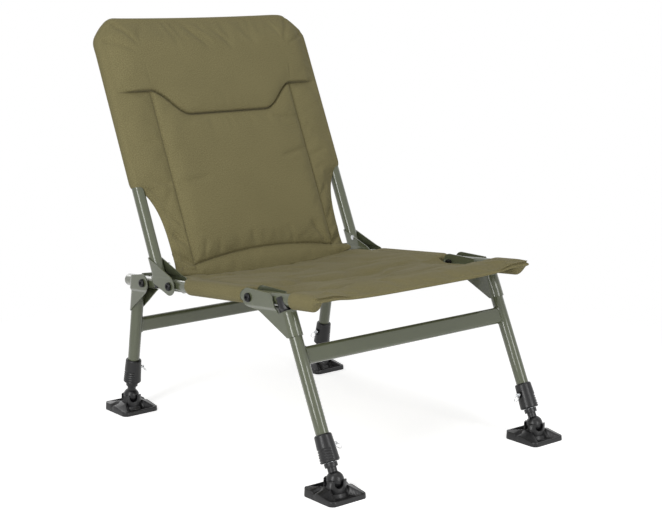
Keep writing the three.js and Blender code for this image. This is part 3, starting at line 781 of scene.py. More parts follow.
def stand(
    name: str, mesh: Mesh, dress: Dress, body: str, nodes: Sequence[str] = (), sharp: float | None = 34.0
) -> bpy.types.Object:
    """Makes a finished piece of a mesh that is already in its place.

    Args:
        name: the piece's name.
        mesh: its mesh, in the row frame.
        dress: its finish.
        body: the CAD body that it rides on.
        nodes: the CAD nodes that it stands for.
        sharp: the angle past which an edge stays sharp; None keeps the mesh's own normals.

    Returns:
        The piece.
    """
    piece = linked(name, mesh)
    mesh.materials.clear()
    mesh.materials.append(dress.value.material())
    for polygon in mesh.polygons:
        polygon.use_smooth = True
        polygon.material_index = 0
    if sharp is not None:
        mesh.set_sharp_from_angle(angle=math.radians(sharp))
    if nodes:
        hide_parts(*nodes)
    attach(piece, body)
    LOG.info("%s: %d faces on %s", name, len(mesh.polygons), body)
    return piece


# The chair's layout


@dataclass(frozen=True)
class Layout:
    """Main sizes, the same as in the CAD model, in metres and degrees."""

    rail_x: float = 0.261
    rail_tilt: float = 5.4
    pivot_height: float = 0.328
    pivot_spacing: float = 0.368
    back_advance: float = 0.099
    tube: float = 0.0125
    wall: float = 0.0015
    inner_tube: float = 0.0104
    spacer: float = 0.003
    gap: float = 0.0003
    sheet: float = 0.0022
    ball_height: float = 0.032

    @property
    def bore(self) -> float:
        """Inner radius of the frame tubes."""
        return self.tube - self.wall

    @property
    def flange_in(self) -> float:
        """Half the room between a bracket's flanges."""
        return self.tube + self.spacer + 2 * self.gap

    @property
    def flange_out(self) -> float:
        """Half a bracket's width over its flanges."""
        return self.flange_in + self.sheet

    @property
    def seat_frame(self) -> Matrix:
        """Frame of the rails: front pivots at the origin, +Y rearwards along them."""
        front = next(j for j in frame["joints"] if j["name"] == "front_leg_fold")["pos_m"]
        return Matrix.Translation(front) @ Matrix.Rotation(-math.radians(self.rail_tilt), 4, "X")


LAYOUT = Layout()
SIDES = {"right": -1, "left": 1}


@dataclass(frozen=True)
class Hinge:
    """One hinged frame, drawn with its pivot at the origin, +Y to its tube, +Z along it."""

    name: str
    body: str
    station: float
    offset: float
    rake: float
    swap: int = 1

    @property
    def lean(self) -> float:
        """Angle by which the rail climbs towards +Y, in radians."""
        tilt = LAYOUT.rail_tilt if self.name == "rear" else -LAYOUT.rail_tilt
        return math.radians(self.rake + tilt)

    @property
    def matrix(self) -> Matrix:
        """Takes the hinge's own frame to the row frame.

        Returns:
            The matrix from the hinge's frame to the row frame.
        """
        turns = {
            "front": Matrix.Rotation(math.pi - self.lean, 4, "X"),
            "rear": Matrix.Rotation(self.lean, 4, "X") @ Matrix.Rotation(math.pi, 4, "Y"),
            "back": Matrix.Rotation(-self.lean, 4, "X"),
        }
        return LAYOUT.seat_frame @ Matrix.Translation((0, self.station, 0)) @ turns[self.name]

    @property
    def foot(self) -> float:
        """Distance from the pivot's level to the ball, along the tube.

        Returns:
            The distance from the pivot's level to the ball's centre.
        """
        height = LAYOUT.pivot_height - self.station * math.sin(math.radians(LAYOUT.rail_tilt))
        rake = math.radians(self.rake)
        return (height - LAYOUT.ball_height + self.offset * math.sin(rake)) / math.cos(rake)

    def rail(self, q: float, side: float = 0.0) -> float:
        """Height along the tube of the rail's axis, or of its skin on one side, at q."""
        return q * math.tan(self.lean) + side * LAYOUT.tube / math.cos(self.lean)

    def at(self, side: str, inward: bool = True) -> Matrix:
        """Place of a piece on one side, turned so that its +X looks outwards.

        Args:
            side: right or left.
            inward: whether to turn it.

        Returns:
            The matrix to the row frame.
        """
        out = SIDES[side] * self.swap
        turn = math.pi if inward and out < 0 else 0.0
        return self.matrix @ Matrix.Translation((out * LAYOUT.rail_x, 0, 0)) @ Matrix.Rotation(turn, 4, "Z")


FRONT = Hinge("front", "front_leg_frame", 0.0, 0.085, 25.2)
REAR = Hinge("rear", "rear_leg_frame", LAYOUT.pivot_spacing, 0.039, 9.4, -1)
BACK = Hinge("back", "backrest", LAYOUT.pivot_spacing - LAYOUT.back_advance, 0.049, 24.5)


# Seat rails


@dataclass(frozen=True)
class SeatRails:
    """Two round rails with their end plugs."""

    front_reach: float = 0.1705
    rear_reach: float = 0.075
    dome: float = 0.008
    dome_steps: int = 8
    plug: float = 0.012
    disc: float = 0.002
    edge: float = 0.0005

    def build(self) -> None:
        """Makes the rails, the domed rear caps and the plain front plugs."""
        end = LAYOUT.pivot_spacing + self.rear_reach
        rail = along_y(pipe(LAYOUT.tube, LAYOUT.bore, -self.front_reach, end))
        start = end + LAYOUT.gap
        angles = [math.pi / 2 * k / self.dome_steps for k in range(self.dome_steps)]
        dome = [(LAYOUT.tube * math.cos(a), start + self.dome * math.sin(a)) for a in angles]
        fit = LAYOUT.bore - LAYOUT.gap
        cap = along_y(lathe([(0, start - self.plug), (fit, start - self.plug), (fit, start),
                             (LAYOUT.tube - LAYOUT.gap, start)] + dome + [(0, start + self.dome)]))
        face = -self.front_reach - LAYOUT.gap
        back = face - self.disc
        stop = along_y(lathe(fillet([(0, back), (LAYOUT.tube, back), (LAYOUT.tube, face), (fit, face),
                                     (fit, face + self.plug), (0, face + self.plug)], self.edge)))
        pieces = (("seat_rail", rail, Dress.PAINT, "rail"), ("rail_cap", cap, Dress.PAINT, "rail_rear_cap"),
                  ("rail_plug", stop, Dress.NYLON, "rail_front_plug"))
        for side, sign in SIDES.items():
            place = LAYOUT.seat_frame @ Matrix.Translation((sign * LAYOUT.rail_x, 0, 0))
            for name, mesh, dress, node in pieces:
                stand(f"{name}_{side}", moved(mesh, place), dress, "seat_frame", [f"{node}_{side}"])


# Brackets, saddles and pivots


@dataclass(frozen=True)
class Bracket:
    """Pressed channel that joins a hinged tube to its pivot, wide at the rail, snug on the tube."""

    hinge: Hinge
    ear: float = 0.0185
    joggle: float = 0.0025
    joggle_length: float = 0.005
    joggle_spread: float = 1.6
    joggle_lead: float = 0.0015
    joggle_steps: int = 8
    hood: float = 0.037
    reach: float = 0.18
    overrun: float = 0.001
    bolt_hole: float = 0.0044
    edge: float = 0.0005
    front_tail: Point = (-0.005, 0.101)
    front_shoulder: Point = (0.014, 0.052)
    front_waist: float = 0.012
    rear_tail: Point = (0.003, 0.077)
    back_tail: Point = (0.003, 0.076)
    back_heel: float = 0.006
    shoulder_round: float = 0.007
    tail_round: float = 0.004
    waist_round: float = 0.012
    plain_round: float = 0.003
    round_steps: int = 24
    ear_steps: int = 30

    def ring(self, half: float, height: float) -> list[Vector]:
        """One section of the channel, level with the rail, open towards the pivot.

        Args:
            half: half the section's width.
            height: its height along the tube.

        Returns:
            The ring's points.
        """
        mouth = -self.ear - self.overrun
        line = [(half, mouth)] + arc(0, self.hinge.offset, half, 0, 180, self.round_steps) + [(-half, mouth)]
        return [Vector((x, y, height + self.hinge.rail(y))) for x, y in line]

    def skin(self, wide: float, narrow: float, extra: float) -> Mesh:
        """A solid with the channel's outside, or its room, stepping in below the rail.

        Args:
            wide: half width at the rail.
            narrow: half width on the tube.
            extra: how far the ends run on, for a cutting tool.

        Returns:
            The closed solid.
        """
        start = LAYOUT.tube + self.joggle
        levels = [(-self.hood - extra, wide)]
        for k in range(self.joggle_steps + 1):
            share = k / self.joggle_steps
            height = start + share * self.joggle_length * self.joggle_spread - self.joggle_lead
            levels.append((height, mix(wide, narrow, smooth(share, 0.0, 1.0))))
        levels.append((self.reach + extra, narrow))
        return loft([self.ring(half, height) for height, half in levels])

    def tangent(self, corner: Point) -> float:
        """Angle in degrees at which a straight edge from a corner touches the ear."""
        angle = math.atan2(corner[1], corner[0]) + math.acos(self.ear / math.hypot(*corner))
        return math.degrees(angle)

    def leaving(self, corner: Point) -> float:
        """Angle in degrees at which the ear ends and a straight edge runs on to a corner."""
        angle = math.atan2(corner[1], corner[0]) - math.acos(min(1.0, self.ear / math.hypot(*corner)))
        return 360 + math.degrees(angle)

    def outline(self) -> list[Point]:
        """The flanges as seen from the side, ear included; each bracket has its own.

        Returns:
            The outline in the hinge's Y and Z.
        """
        joint, wide = self.hinge, LAYOUT.flange_out
        web = joint.offset + wide + self.overrun
        if joint.name == "front":
            tail = (joint.offset + self.front_tail[0], self.front_tail[1])
            waist = (self.ear, joint.rail(self.ear, 1) + self.front_waist)
            shoulder, level = joint.offset - self.front_shoulder[0], self.front_shoulder[1]
            touch = self.tangent(waist)
            line = [(shoulder, joint.rail(shoulder, -1)), (shoulder, level), (web, level),
                    (web, tail[1]), tail, waist]
            rounded = (
                [line[0]] + fillet(line[:3], self.shoulder_round, 5)[1:-1] + [line[2], line[3]]
                + fillet([line[3], tail, waist], self.tail_round, 4)[1:-1]
                + fillet([tail, waist, (waist[0] - 0.01, waist[1] - 0.008)], self.waist_round, 4)[1:-1]
            )
            return rounded + arc(0, 0, self.ear, touch, self.leaving(line[0]), self.ear_steps)
        past, end = self.rear_tail if joint.name == "rear" else self.back_tail
        tail = (joint.offset + past, end)
        touch = self.tangent(tail)
        if joint.name == "rear":
            line = [(web, joint.rail(web, -1)), (web, tail[1])]
        else:
            heel = joint.rail(joint.offset, 1) + self.back_heel
            line = [(web, heel), (web, tail[1])]
        return line + fillet([line[-1], tail, (self.ear, 0.0)], self.plain_round, 4)[1:-1] + arc(
            0, 0, self.ear, touch, self.leaving(line[0]), self.ear_steps
        )

    def shape(self) -> Mesh:
        """The pressed sheet, drilled for its bolt and open where the rail swings in.

        Returns:
            The bracket, its pivot at the origin.
        """
        over = self.overrun
        sheet = carve(
            self.skin(LAYOUT.flange_out, LAYOUT.tube + LAYOUT.gap + LAYOUT.sheet, 0.0),
            [self.skin(LAYOUT.flange_in, LAYOUT.tube + LAYOUT.gap, over),
             box((LAYOUT.flange_in * 2, 4 * over, 1.0), (0, -self.ear - over, 0))],
        )
        side = side_prism(self.outline(), -LAYOUT.flange_out - over, LAYOUT.flange_out + over)
        bolt = along_x(rod(self.bolt_hole, -0.04, 0.04, 24))
        room = rail_room(self.hinge, LAYOUT.tube + over)
        return softened(carve(carve(sheet, [side], Cut.COMMON), [bolt, room]), self.edge, 2)


def rail_room(hinge: Hinge, radius: float) -> Mesh:
    """The room that the rail needs to swing out of a hinged frame.

    Args:
        hinge: the hinged frame.
        radius: the room's half width.

    Returns:
        A solid along the rail, open towards the far side.
    """
    outline = arc(0, 0, radius, 180, 360, 24) + [(radius, 0.12), (-radius, 0.12)]
    out = Vector((0, math.sin(hinge.lean), -math.cos(hinge.lean)))
    run = Vector((0, math.cos(hinge.lean), math.sin(hinge.lean)))
    turn = Matrix(((1, 0, 0, 0), (0, out.y, run.y, 0), (0, out.z, run.z, 0), (0, 0, 0, 1)))
    return outwards(moved(prism(outline, -0.3, 0.3), turn))


@dataclass(frozen=True)
class Saddle:
    """Moulded cradle between a tube's end and the rail that it folds against."""

    hinge: Hinge
    floor: float = 0.008
    arm: float = 0.008
    plug: float = 0.014
    snug: float = 0.0002
    slot: tuple[float, float, float] = (0.0045, 0.004, 0.03)
    slot_drop: float = 0.012
    edge: float = 0.0006

    @property
    def tube_start(self) -> float:
        """Where the tube begins."""
        return self.hinge.rail(self.hinge.offset, 1) + self.floor

    def shape(self) -> Mesh:
        """Two arms astride the rail on a collar, with a plug down the tube.

        Returns:
            The saddle, its pivot at the origin.
        """
        joint = self.hinge
        reach = LAYOUT.flange_in - LAYOUT.gap
        end = self.tube_start - LAYOUT.gap
        arm_end = joint.rail(joint.offset, 1) - LAYOUT.tube - self.arm
        lift = Matrix.Translation((0, joint.offset, 0))
        cradle = moved(rod(reach, arm_end, end, 48), lift)
        half = LAYOUT.tube
        waist = side_prism(
            [(joint.offset - half, arm_end - 0.001), (joint.offset + half, arm_end - 0.001),
             (joint.offset + half, end + 0.001), (joint.offset - half, end + 0.001)], -reach, reach)
        bracket = Bracket(joint)
        neck = bracket.skin(reach, LAYOUT.tube - self.snug, 0.002)
        stem = moved(rod(LAYOUT.bore - LAYOUT.gap, end - 0.001, self.tube_start + self.plug, 40), lift)
        body = carve(carve(cradle, [waist, neck], Cut.COMMON), [stem], Cut.WITH)
        relief = [box(self.slot, (x, joint.offset + y, end - self.slot_drop))
                  for x in (-self.slot[0], self.slot[0]) for y in (-half, half)]
        return softened(carve(body, relief + [rail_room(joint, LAYOUT.tube + LAYOUT.gap)]), self.edge, 2)


@dataclass(frozen=True)
class PivotBolt:
    """Shouldered bolt with a socket head, two nylon-black spacers and a lock nut."""

    shank: float = 0.004
    head: float = 0.00875
    head_height: float = 0.0045
    crown: float = 0.0016
    spacer: float = 0.01075
    nut: float = 0.0065
    nut_height: float = 0.007
    socket: float = 0.0041
    socket_depth: float = 0.0026

    def shape(self) -> Mesh:
        """The bolt along X, head outwards, with its spacers and nut.

        Returns:
            The bolt's pieces in one mesh.
        """
        start = LAYOUT.flange_out + LAYOUT.gap
        end = start + self.head_height
        near = LAYOUT.tube + LAYOUT.gap
        far = near + LAYOUT.spacer
        shank = rod(self.shank, -start - self.nut_height, start, 24, 0.0005)
        head = lathe(fillet(
            [(0, start), (self.head, start), (self.head, end - self.crown),
             (self.head - self.crown, end), (0, end)], 0.0007, 3), 40)
        socket = rod(self.socket, end - self.socket_depth, end + 0.001, 6)
        washers = [lathe(fillet(
            [(self.shank, low), (self.spacer, low), (self.spacer, low + LAYOUT.spacer),
             (self.shank, low + LAYOUT.spacer), (self.shank, low)], 0.0005, 2), 40)
            for low in (near, -far)]
        nut = softened(carve(
            rod(self.nut / math.cos(math.pi / 6), -start - self.nut_height, -start, 6),
            [lathe([(0, -start), (self.nut * 1.25, -start), (self.nut * 1.12, -start - self.nut_height),
                    (self.nut * 0.95, -start - self.nut_height - 0.0004),
                    (0, -start - self.nut_height - 0.0004)], 40)], Cut.COMMON), 0.0003, 2)
        return along_x(joined([shank, softened(carve(head, [socket]), 0.0002, 1), *washers, nut]))


@dataclass(frozen=True)
class StopRivet:
    """Bright clinched rivet on the inner face of a bracket's inner flange."""

    q: float
    t: float
    radius: float = 0.0052
    height: float = 0.0022

    def shape(self, out: int) -> Mesh:
        """The clinched end, on the side away from out.

        Args:
            out: 1 or -1, the way that the outside of the chair lies.

        Returns:
            The clinched end in its place.
        """
        profile = fillet([(0, 0), (self.radius, 0), (self.radius, self.height * 0.6),
                          (self.radius * 0.55, self.height), (0.0011, self.height),
                          (0.0009, self.height * 0.5), (0, self.height * 0.5)], 0.0004, 2)
        turn = Matrix.Rotation(math.pi / 2 * out, 4, "Y")
        place = Matrix.Translation((-out * (LAYOUT.flange_in + 0.0002), self.q, self.t))
        return moved(lathe(profile, 24), place @ turn)


# Hinged frames


@dataclass(frozen=True)
class Crossbar:
    """Flat-oval bar between two legs, with the weld bead round each end."""

    hinge: Hinge
    drop: float
    height: float = 0.033
    depth: float = 0.015
    bead: float = 0.0019

    def end_at(self, q: float) -> float:
        """Where the bar's skin meets the leg's round at q from the leg's axis."""
        reach = LAYOUT.tube + LAYOUT.gap
        return LAYOUT.rail_x - math.sqrt(max(reach**2 - q**2, 0.0))

    def shapes(self) -> tuple[Mesh, Mesh]:
        """The bar and its two weld beads.

        Returns:
            The bar, and both beads in one mesh.
        """
        section = rounded_square(self.depth, self.height, self.depth / 2 - 1e-5, 10)
        ends = [[(sign * self.end_at(q), self.hinge.offset + q, self.drop + t) for q, t in section]
                for sign in (-1, 1)]
        bar = moved(loft(ends), self.hinge.matrix)
        beads = []
        for sign in (-1, 1):
            path = []
            for k, (q, t) in enumerate(section[::2]):
                swell = 1 + 0.05 * math.sin(k * 2.4 + sign)
                path.append(Vector((sign * (self.end_at(q * swell) - 0.0005),
                                    self.hinge.offset + q * swell, self.drop + t * (1.0 + 0.02 * swell))))
            beads.append(sweep(path, self.bead, 10, closed=True))
        return bar, moved(joined(beads), self.hinge.matrix)


@dataclass(frozen=True)
class Joints:
    """What stands at both ends of one hinge: bracket, saddle, pivot and any stop rivet."""

    hinge: Hinge
    rivet: StopRivet | None = None

    def build(self) -> None:
        """Makes one set of shapes and stands it on either side."""
        name, body = self.hinge.name, self.hinge.body
        bracket, saddle, bolt = Bracket(self.hinge).shape(), Saddle(self.hinge).shape(), PivotBolt().shape()
        for side in SIDES:
            plain, turned = self.hinge.at(side, inward=False), self.hinge.at(side)
            stand(f"{name}_channel_{side}", moved(bracket, plain), Dress.PAINT, body,
                  [f"{name}_bracket_{side}"], sharp=None)
            stand(f"{name}_cradle_{side}", moved(saddle, plain), Dress.NYLON, body,
                  [f"{name}_saddle_{side}"], sharp=None)
            stand(f"{name}_bolt_{side}", moved(bolt, turned), Dress.BLACK_STEEL, body,
                  [f"{name}_pivot_{side}"])
            if self.rivet:
                clinch = self.rivet.shape(SIDES[side] * self.hinge.swap)
                stand(f"{name}_rivet_{side}", moved(clinch, plain), Dress.BRIGHT, body)


@dataclass(frozen=True)
class LegSizes:
    """Sizes of a telescopic leg, from its collar down."""

    collar_length: float = 0.052
    collar_top: float = 0.0165
    collar_bottom: float = 0.01875
    bevel: float = 0.0022
    rim: float = 0.0009
    skin_step: float = 0.0006
    grip: float = 0.0245
    groove_pitch: float = 0.0049
    groove_depth: float = 0.0014
    lip: float = 0.003
    slide: float = 0.0004
    show: float = 0.004
    window_rise: float = 0.031
    window_width: float = 0.013
    window_height: float = 0.015
    window_round: float = 0.0035
    window_depth: float = 0.0026
    boss: float = 0.0044
    boss_out: float = 0.0006
    boss_in: float = 0.003
    inner_length: float = 0.165
    hole: float = 0.0029
    hole_pitch: float = 0.025
    holes: int = 5
    tool: float = 0.03
    pin: float = 0.0025
    pin_head: float = 0.00375
    head_start: float = 0.0174
    head_length: float = 0.0034
    eye: float = 0.0034
    eye_bore: float = 0.002
    eye_half: float = 0.0012
    ring: float = 0.0067
    ring_wire: float = 0.00045
    ring_rest: float = 0.0006
    ring_swing: float = 35.0
    ring_steps: int = 72
    stud: float = 0.028
    stud_plug: float = 0.01
    stud_flange: float = 0.0033
    ball: float = 0.0165
    neck: float = 0.00875


@dataclass(frozen=True)
class Leg:
    """Outer tube, collar, pull pin with its ring, inner tube and ball stud of one leg."""

    hinge: Hinge
    sizes: LegSizes = field(default_factory=LegSizes)

    @property
    def collar_end(self) -> float:
        """Foot end of the collar, along the leg."""
        return self.hinge.foot - self.sizes.stud - self.sizes.show

    @property
    def pin(self) -> float:
        """Height of the pull pin, along the leg."""
        return self.collar_end - self.sizes.window_rise

    def outer(self) -> Mesh:
        """The painted outer tube."""
        start = Saddle(self.hinge).tube_start
        return pipe(LAYOUT.tube, LAYOUT.bore, start, self.collar_end - self.sizes.lip - LAYOUT.gap)

    def collar(self) -> Mesh:
        """Moulded collar: gripped by grooves outside, with the pin's window inside.

        Returns:
            The collar, along the leg's own Z.
        """
        s, end = self.sizes, self.collar_end
        start = end - s.collar_length
        bore, slide = LAYOUT.tube + LAYOUT.gap, LAYOUT.inner_tube + s.slide
        steps = round((s.collar_length - 2 * s.bevel) / s.skin_step)
        shares = [k / steps for k in range(1, steps)]
        skin = [(mix(s.collar_top, s.collar_bottom, share), mix(start + s.bevel, end - s.bevel, share))
                for share in shares]
        rims = fillet(
            [(bore, start), (s.collar_top - s.bevel, start), (s.collar_top, start + s.bevel),
             (s.collar_bottom, end - s.bevel), (s.collar_bottom - s.bevel, end), (slide, end),
             (slide, end - s.lip), (bore, end - s.lip)], s.rim, 3, closed=True)
        turn = next(k for k, point in enumerate(rims) if point[1] > (start + end) / 2)
        loop = rims[:turn] + skin + rims[turn:]
        body = lathe(loop + loop[:1], 72)
        low = end - s.bevel - s.grip
        for vertex in body.vertices:
            radius = math.hypot(vertex.co.x, vertex.co.y)
            if radius > bore + 0.001 and low < vertex.co.z < end - s.bevel:
                wave = 0.5 - 0.5 * math.cos(2 * math.pi * (vertex.co.z - low) / s.groove_pitch)
                depth = s.groove_depth * wave**0.7 * smooth(vertex.co.x / radius, 0.12, 0.4)
                vertex.co.x *= 1 - depth / radius
                vertex.co.y *= 1 - depth / radius
        face = s.collar_bottom - (s.collar_bottom - s.collar_top) * s.window_rise / s.collar_length
        outline = rounded_square(s.window_width, s.window_height, s.window_round, 5)
        window = side_prism(outline, -s.tool, s.window_depth - face)
        hole = along_x(rod(s.hole, -s.tool, 0.0, 20))
        lift = Matrix.Translation((0, 0, self.pin))
        cut = softened(carve(body, [moved(window, lift), moved(hole, lift)]), 0.0003, 1, 50.0)
        deep, proud = -face + s.boss_in, -face + s.boss_out
        boss = along_x(lathe([(s.hole, deep), (s.boss, deep), (s.boss, proud), (s.hole, proud),
                              (s.hole, deep)], 24))
        return joined([cut, moved(boss, lift)])

    def pull_pin(self) -> Mesh:
        """Pin pointing in at the inner tube, with a flat eye for its ring.

        Returns:
            The pin, its hole's middle at the origin.
        """
        s = self.sizes
        tip, neck, top = LAYOUT.inner_tube + s.slide, -s.head_start, -s.head_start - s.head_length
        shaft = along_x(lathe(fillet([(0, top), (s.pin_head, top), (s.pin_head, neck), (s.pin, neck),
                                      (s.pin, -tip), (0, -tip)], 0.0006, 3), 28))
        tab = along_y(lathe(fillet(
            [(s.eye_bore, -s.eye_half), (s.eye, -s.eye_half), (s.eye, s.eye_half),
             (s.eye_bore, s.eye_half)], 0.0005, 2, closed=True), 24))
        stem = box((0.0026, 2 * s.eye_half, 0.0052), (top - 0.0006, 0, 0))
        return joined([shaft, moved(tab, Matrix.Translation((top - s.eye, 0, 0))), softened(stem, 0.0004, 2)])

    def split_ring(self) -> Mesh:
        """Two turns of spring wire, hanging in the pin's eye.

        Returns:
            The ring, in the pin's own frame.
        """
        s = self.sizes
        swing, eye = math.radians(s.ring_swing), s.head_start + s.head_length + s.eye
        path = []
        for k in range(s.ring_steps + 1):
            angle = 4 * math.pi * k / s.ring_steps
            drift = s.ring_wire * 2.1 * (k / s.ring_steps - 0.5)
            path.append(Vector((drift, s.ring * math.sin(angle), s.ring - s.ring * math.cos(angle))))
        hung = Matrix.Translation((-eye - s.ring_rest * math.sin(swing), 0, s.ring_rest))
        return moved(sweep(path, s.ring_wire, 8), hung @ Matrix.Rotation(-swing, 4, "Y"))

    def inner(self) -> Mesh:
        """The sliding tube with its row of locking holes.

        Returns:
            The inner tube, along the leg's own Z.
        """
        s = self.sizes
        end = self.hinge.foot - s.stud - LAYOUT.gap
        bore = LAYOUT.inner_tube - LAYOUT.wall
        tube = pipe(LAYOUT.inner_tube, bore, end - s.inner_length, end, 40)
        drill = along_x(rod(s.hole, -s.tool, 0.0, 16))
        return carve(tube, [moved(drill, Matrix.Translation((0, 0, self.pin - k * s.hole_pitch)))
                            for k in range(s.holes)])

    def stud(self) -> Mesh:
        """Ball stud with its flange, neck and plug, at the leg's foot.

        Returns:
            The stud, along the leg's own Z.
        """
        s = self.sizes
        top, plug = -s.stud, LAYOUT.inner_tube - LAYOUT.wall - LAYOUT.gap
        cover, ledge = LAYOUT.inner_tube + LAYOUT.gap, top - s.stud_flange
        profile = fillet(
            [(0, top - s.stud_plug), (plug, top - s.stud_plug), (plug, top), (cover, top), (cover, ledge),
             (0.0126, ledge), (0.0122, 0.005 - s.stud), (s.neck, 0.005 - s.stud)], 0.0006, 3)
        start = math.degrees(math.asin(s.neck / s.ball)) - 90
        profile += arc(0, 0, s.ball, start, 90, 24)[:-1] + [(0, s.ball)]
        return moved(lathe(profile, 48), Matrix.Translation((0, 0, self.hinge.foot)))

    def build(self) -> None:
        """Stands every piece of the leg on either side."""
        name = self.hinge.name
        shapes = {
            "leg": (self.outer(), Dress.PAINT), "collar": (self.collar(), Dress.NYLON),
            "pin": (self.pull_pin(), Dress.BRIGHT), "ring": (self.split_ring(), Dress.BRIGHT),
            "inner": (self.inner(), Dress.DRAWN_TUBE), "stud": (self.stud(), Dress.NYLON),
        }
        nodes = {"leg": "{0}_leg_{1}", "collar": "leg_collar_{0}_{1}", "pin": "pull_pin_{0}_{1}",
                 "ring": "pull_ring_{0}_{1}", "inner": "inner_leg_{0}_{1}", "stud": "ball_stud_{0}_{1}"}
        bodies = {"pin": "pull_pin_{0}_{1}", "ring": "pull_pin_{0}_{1}", "inner": "inner_leg_{0}_{1}",
                  "stud": "ball_stud_{0}_{1}"}
        for side in SIDES:
            base = self.hinge.at(side, inward=False)
            base = base @ Matrix.Translation((0, self.hinge.offset, 0))
            turn = Matrix.Rotation(math.pi if SIDES[side] * self.hinge.swap < 0 else 0.0, 4, "Z")
            lift = {"pin": self.pin, "ring": self.pin}
            for key, (mesh, dress) in shapes.items():
                place = base @ Matrix.Translation((0, 0, lift.get(key, 0.0))) @ turn
                body = bodies.get(key, self.hinge.body).format(name, side)
                stand(f"{name}_{side}_{key}", moved(mesh, place), dress, body,
                      [nodes[key].format(name, side)])


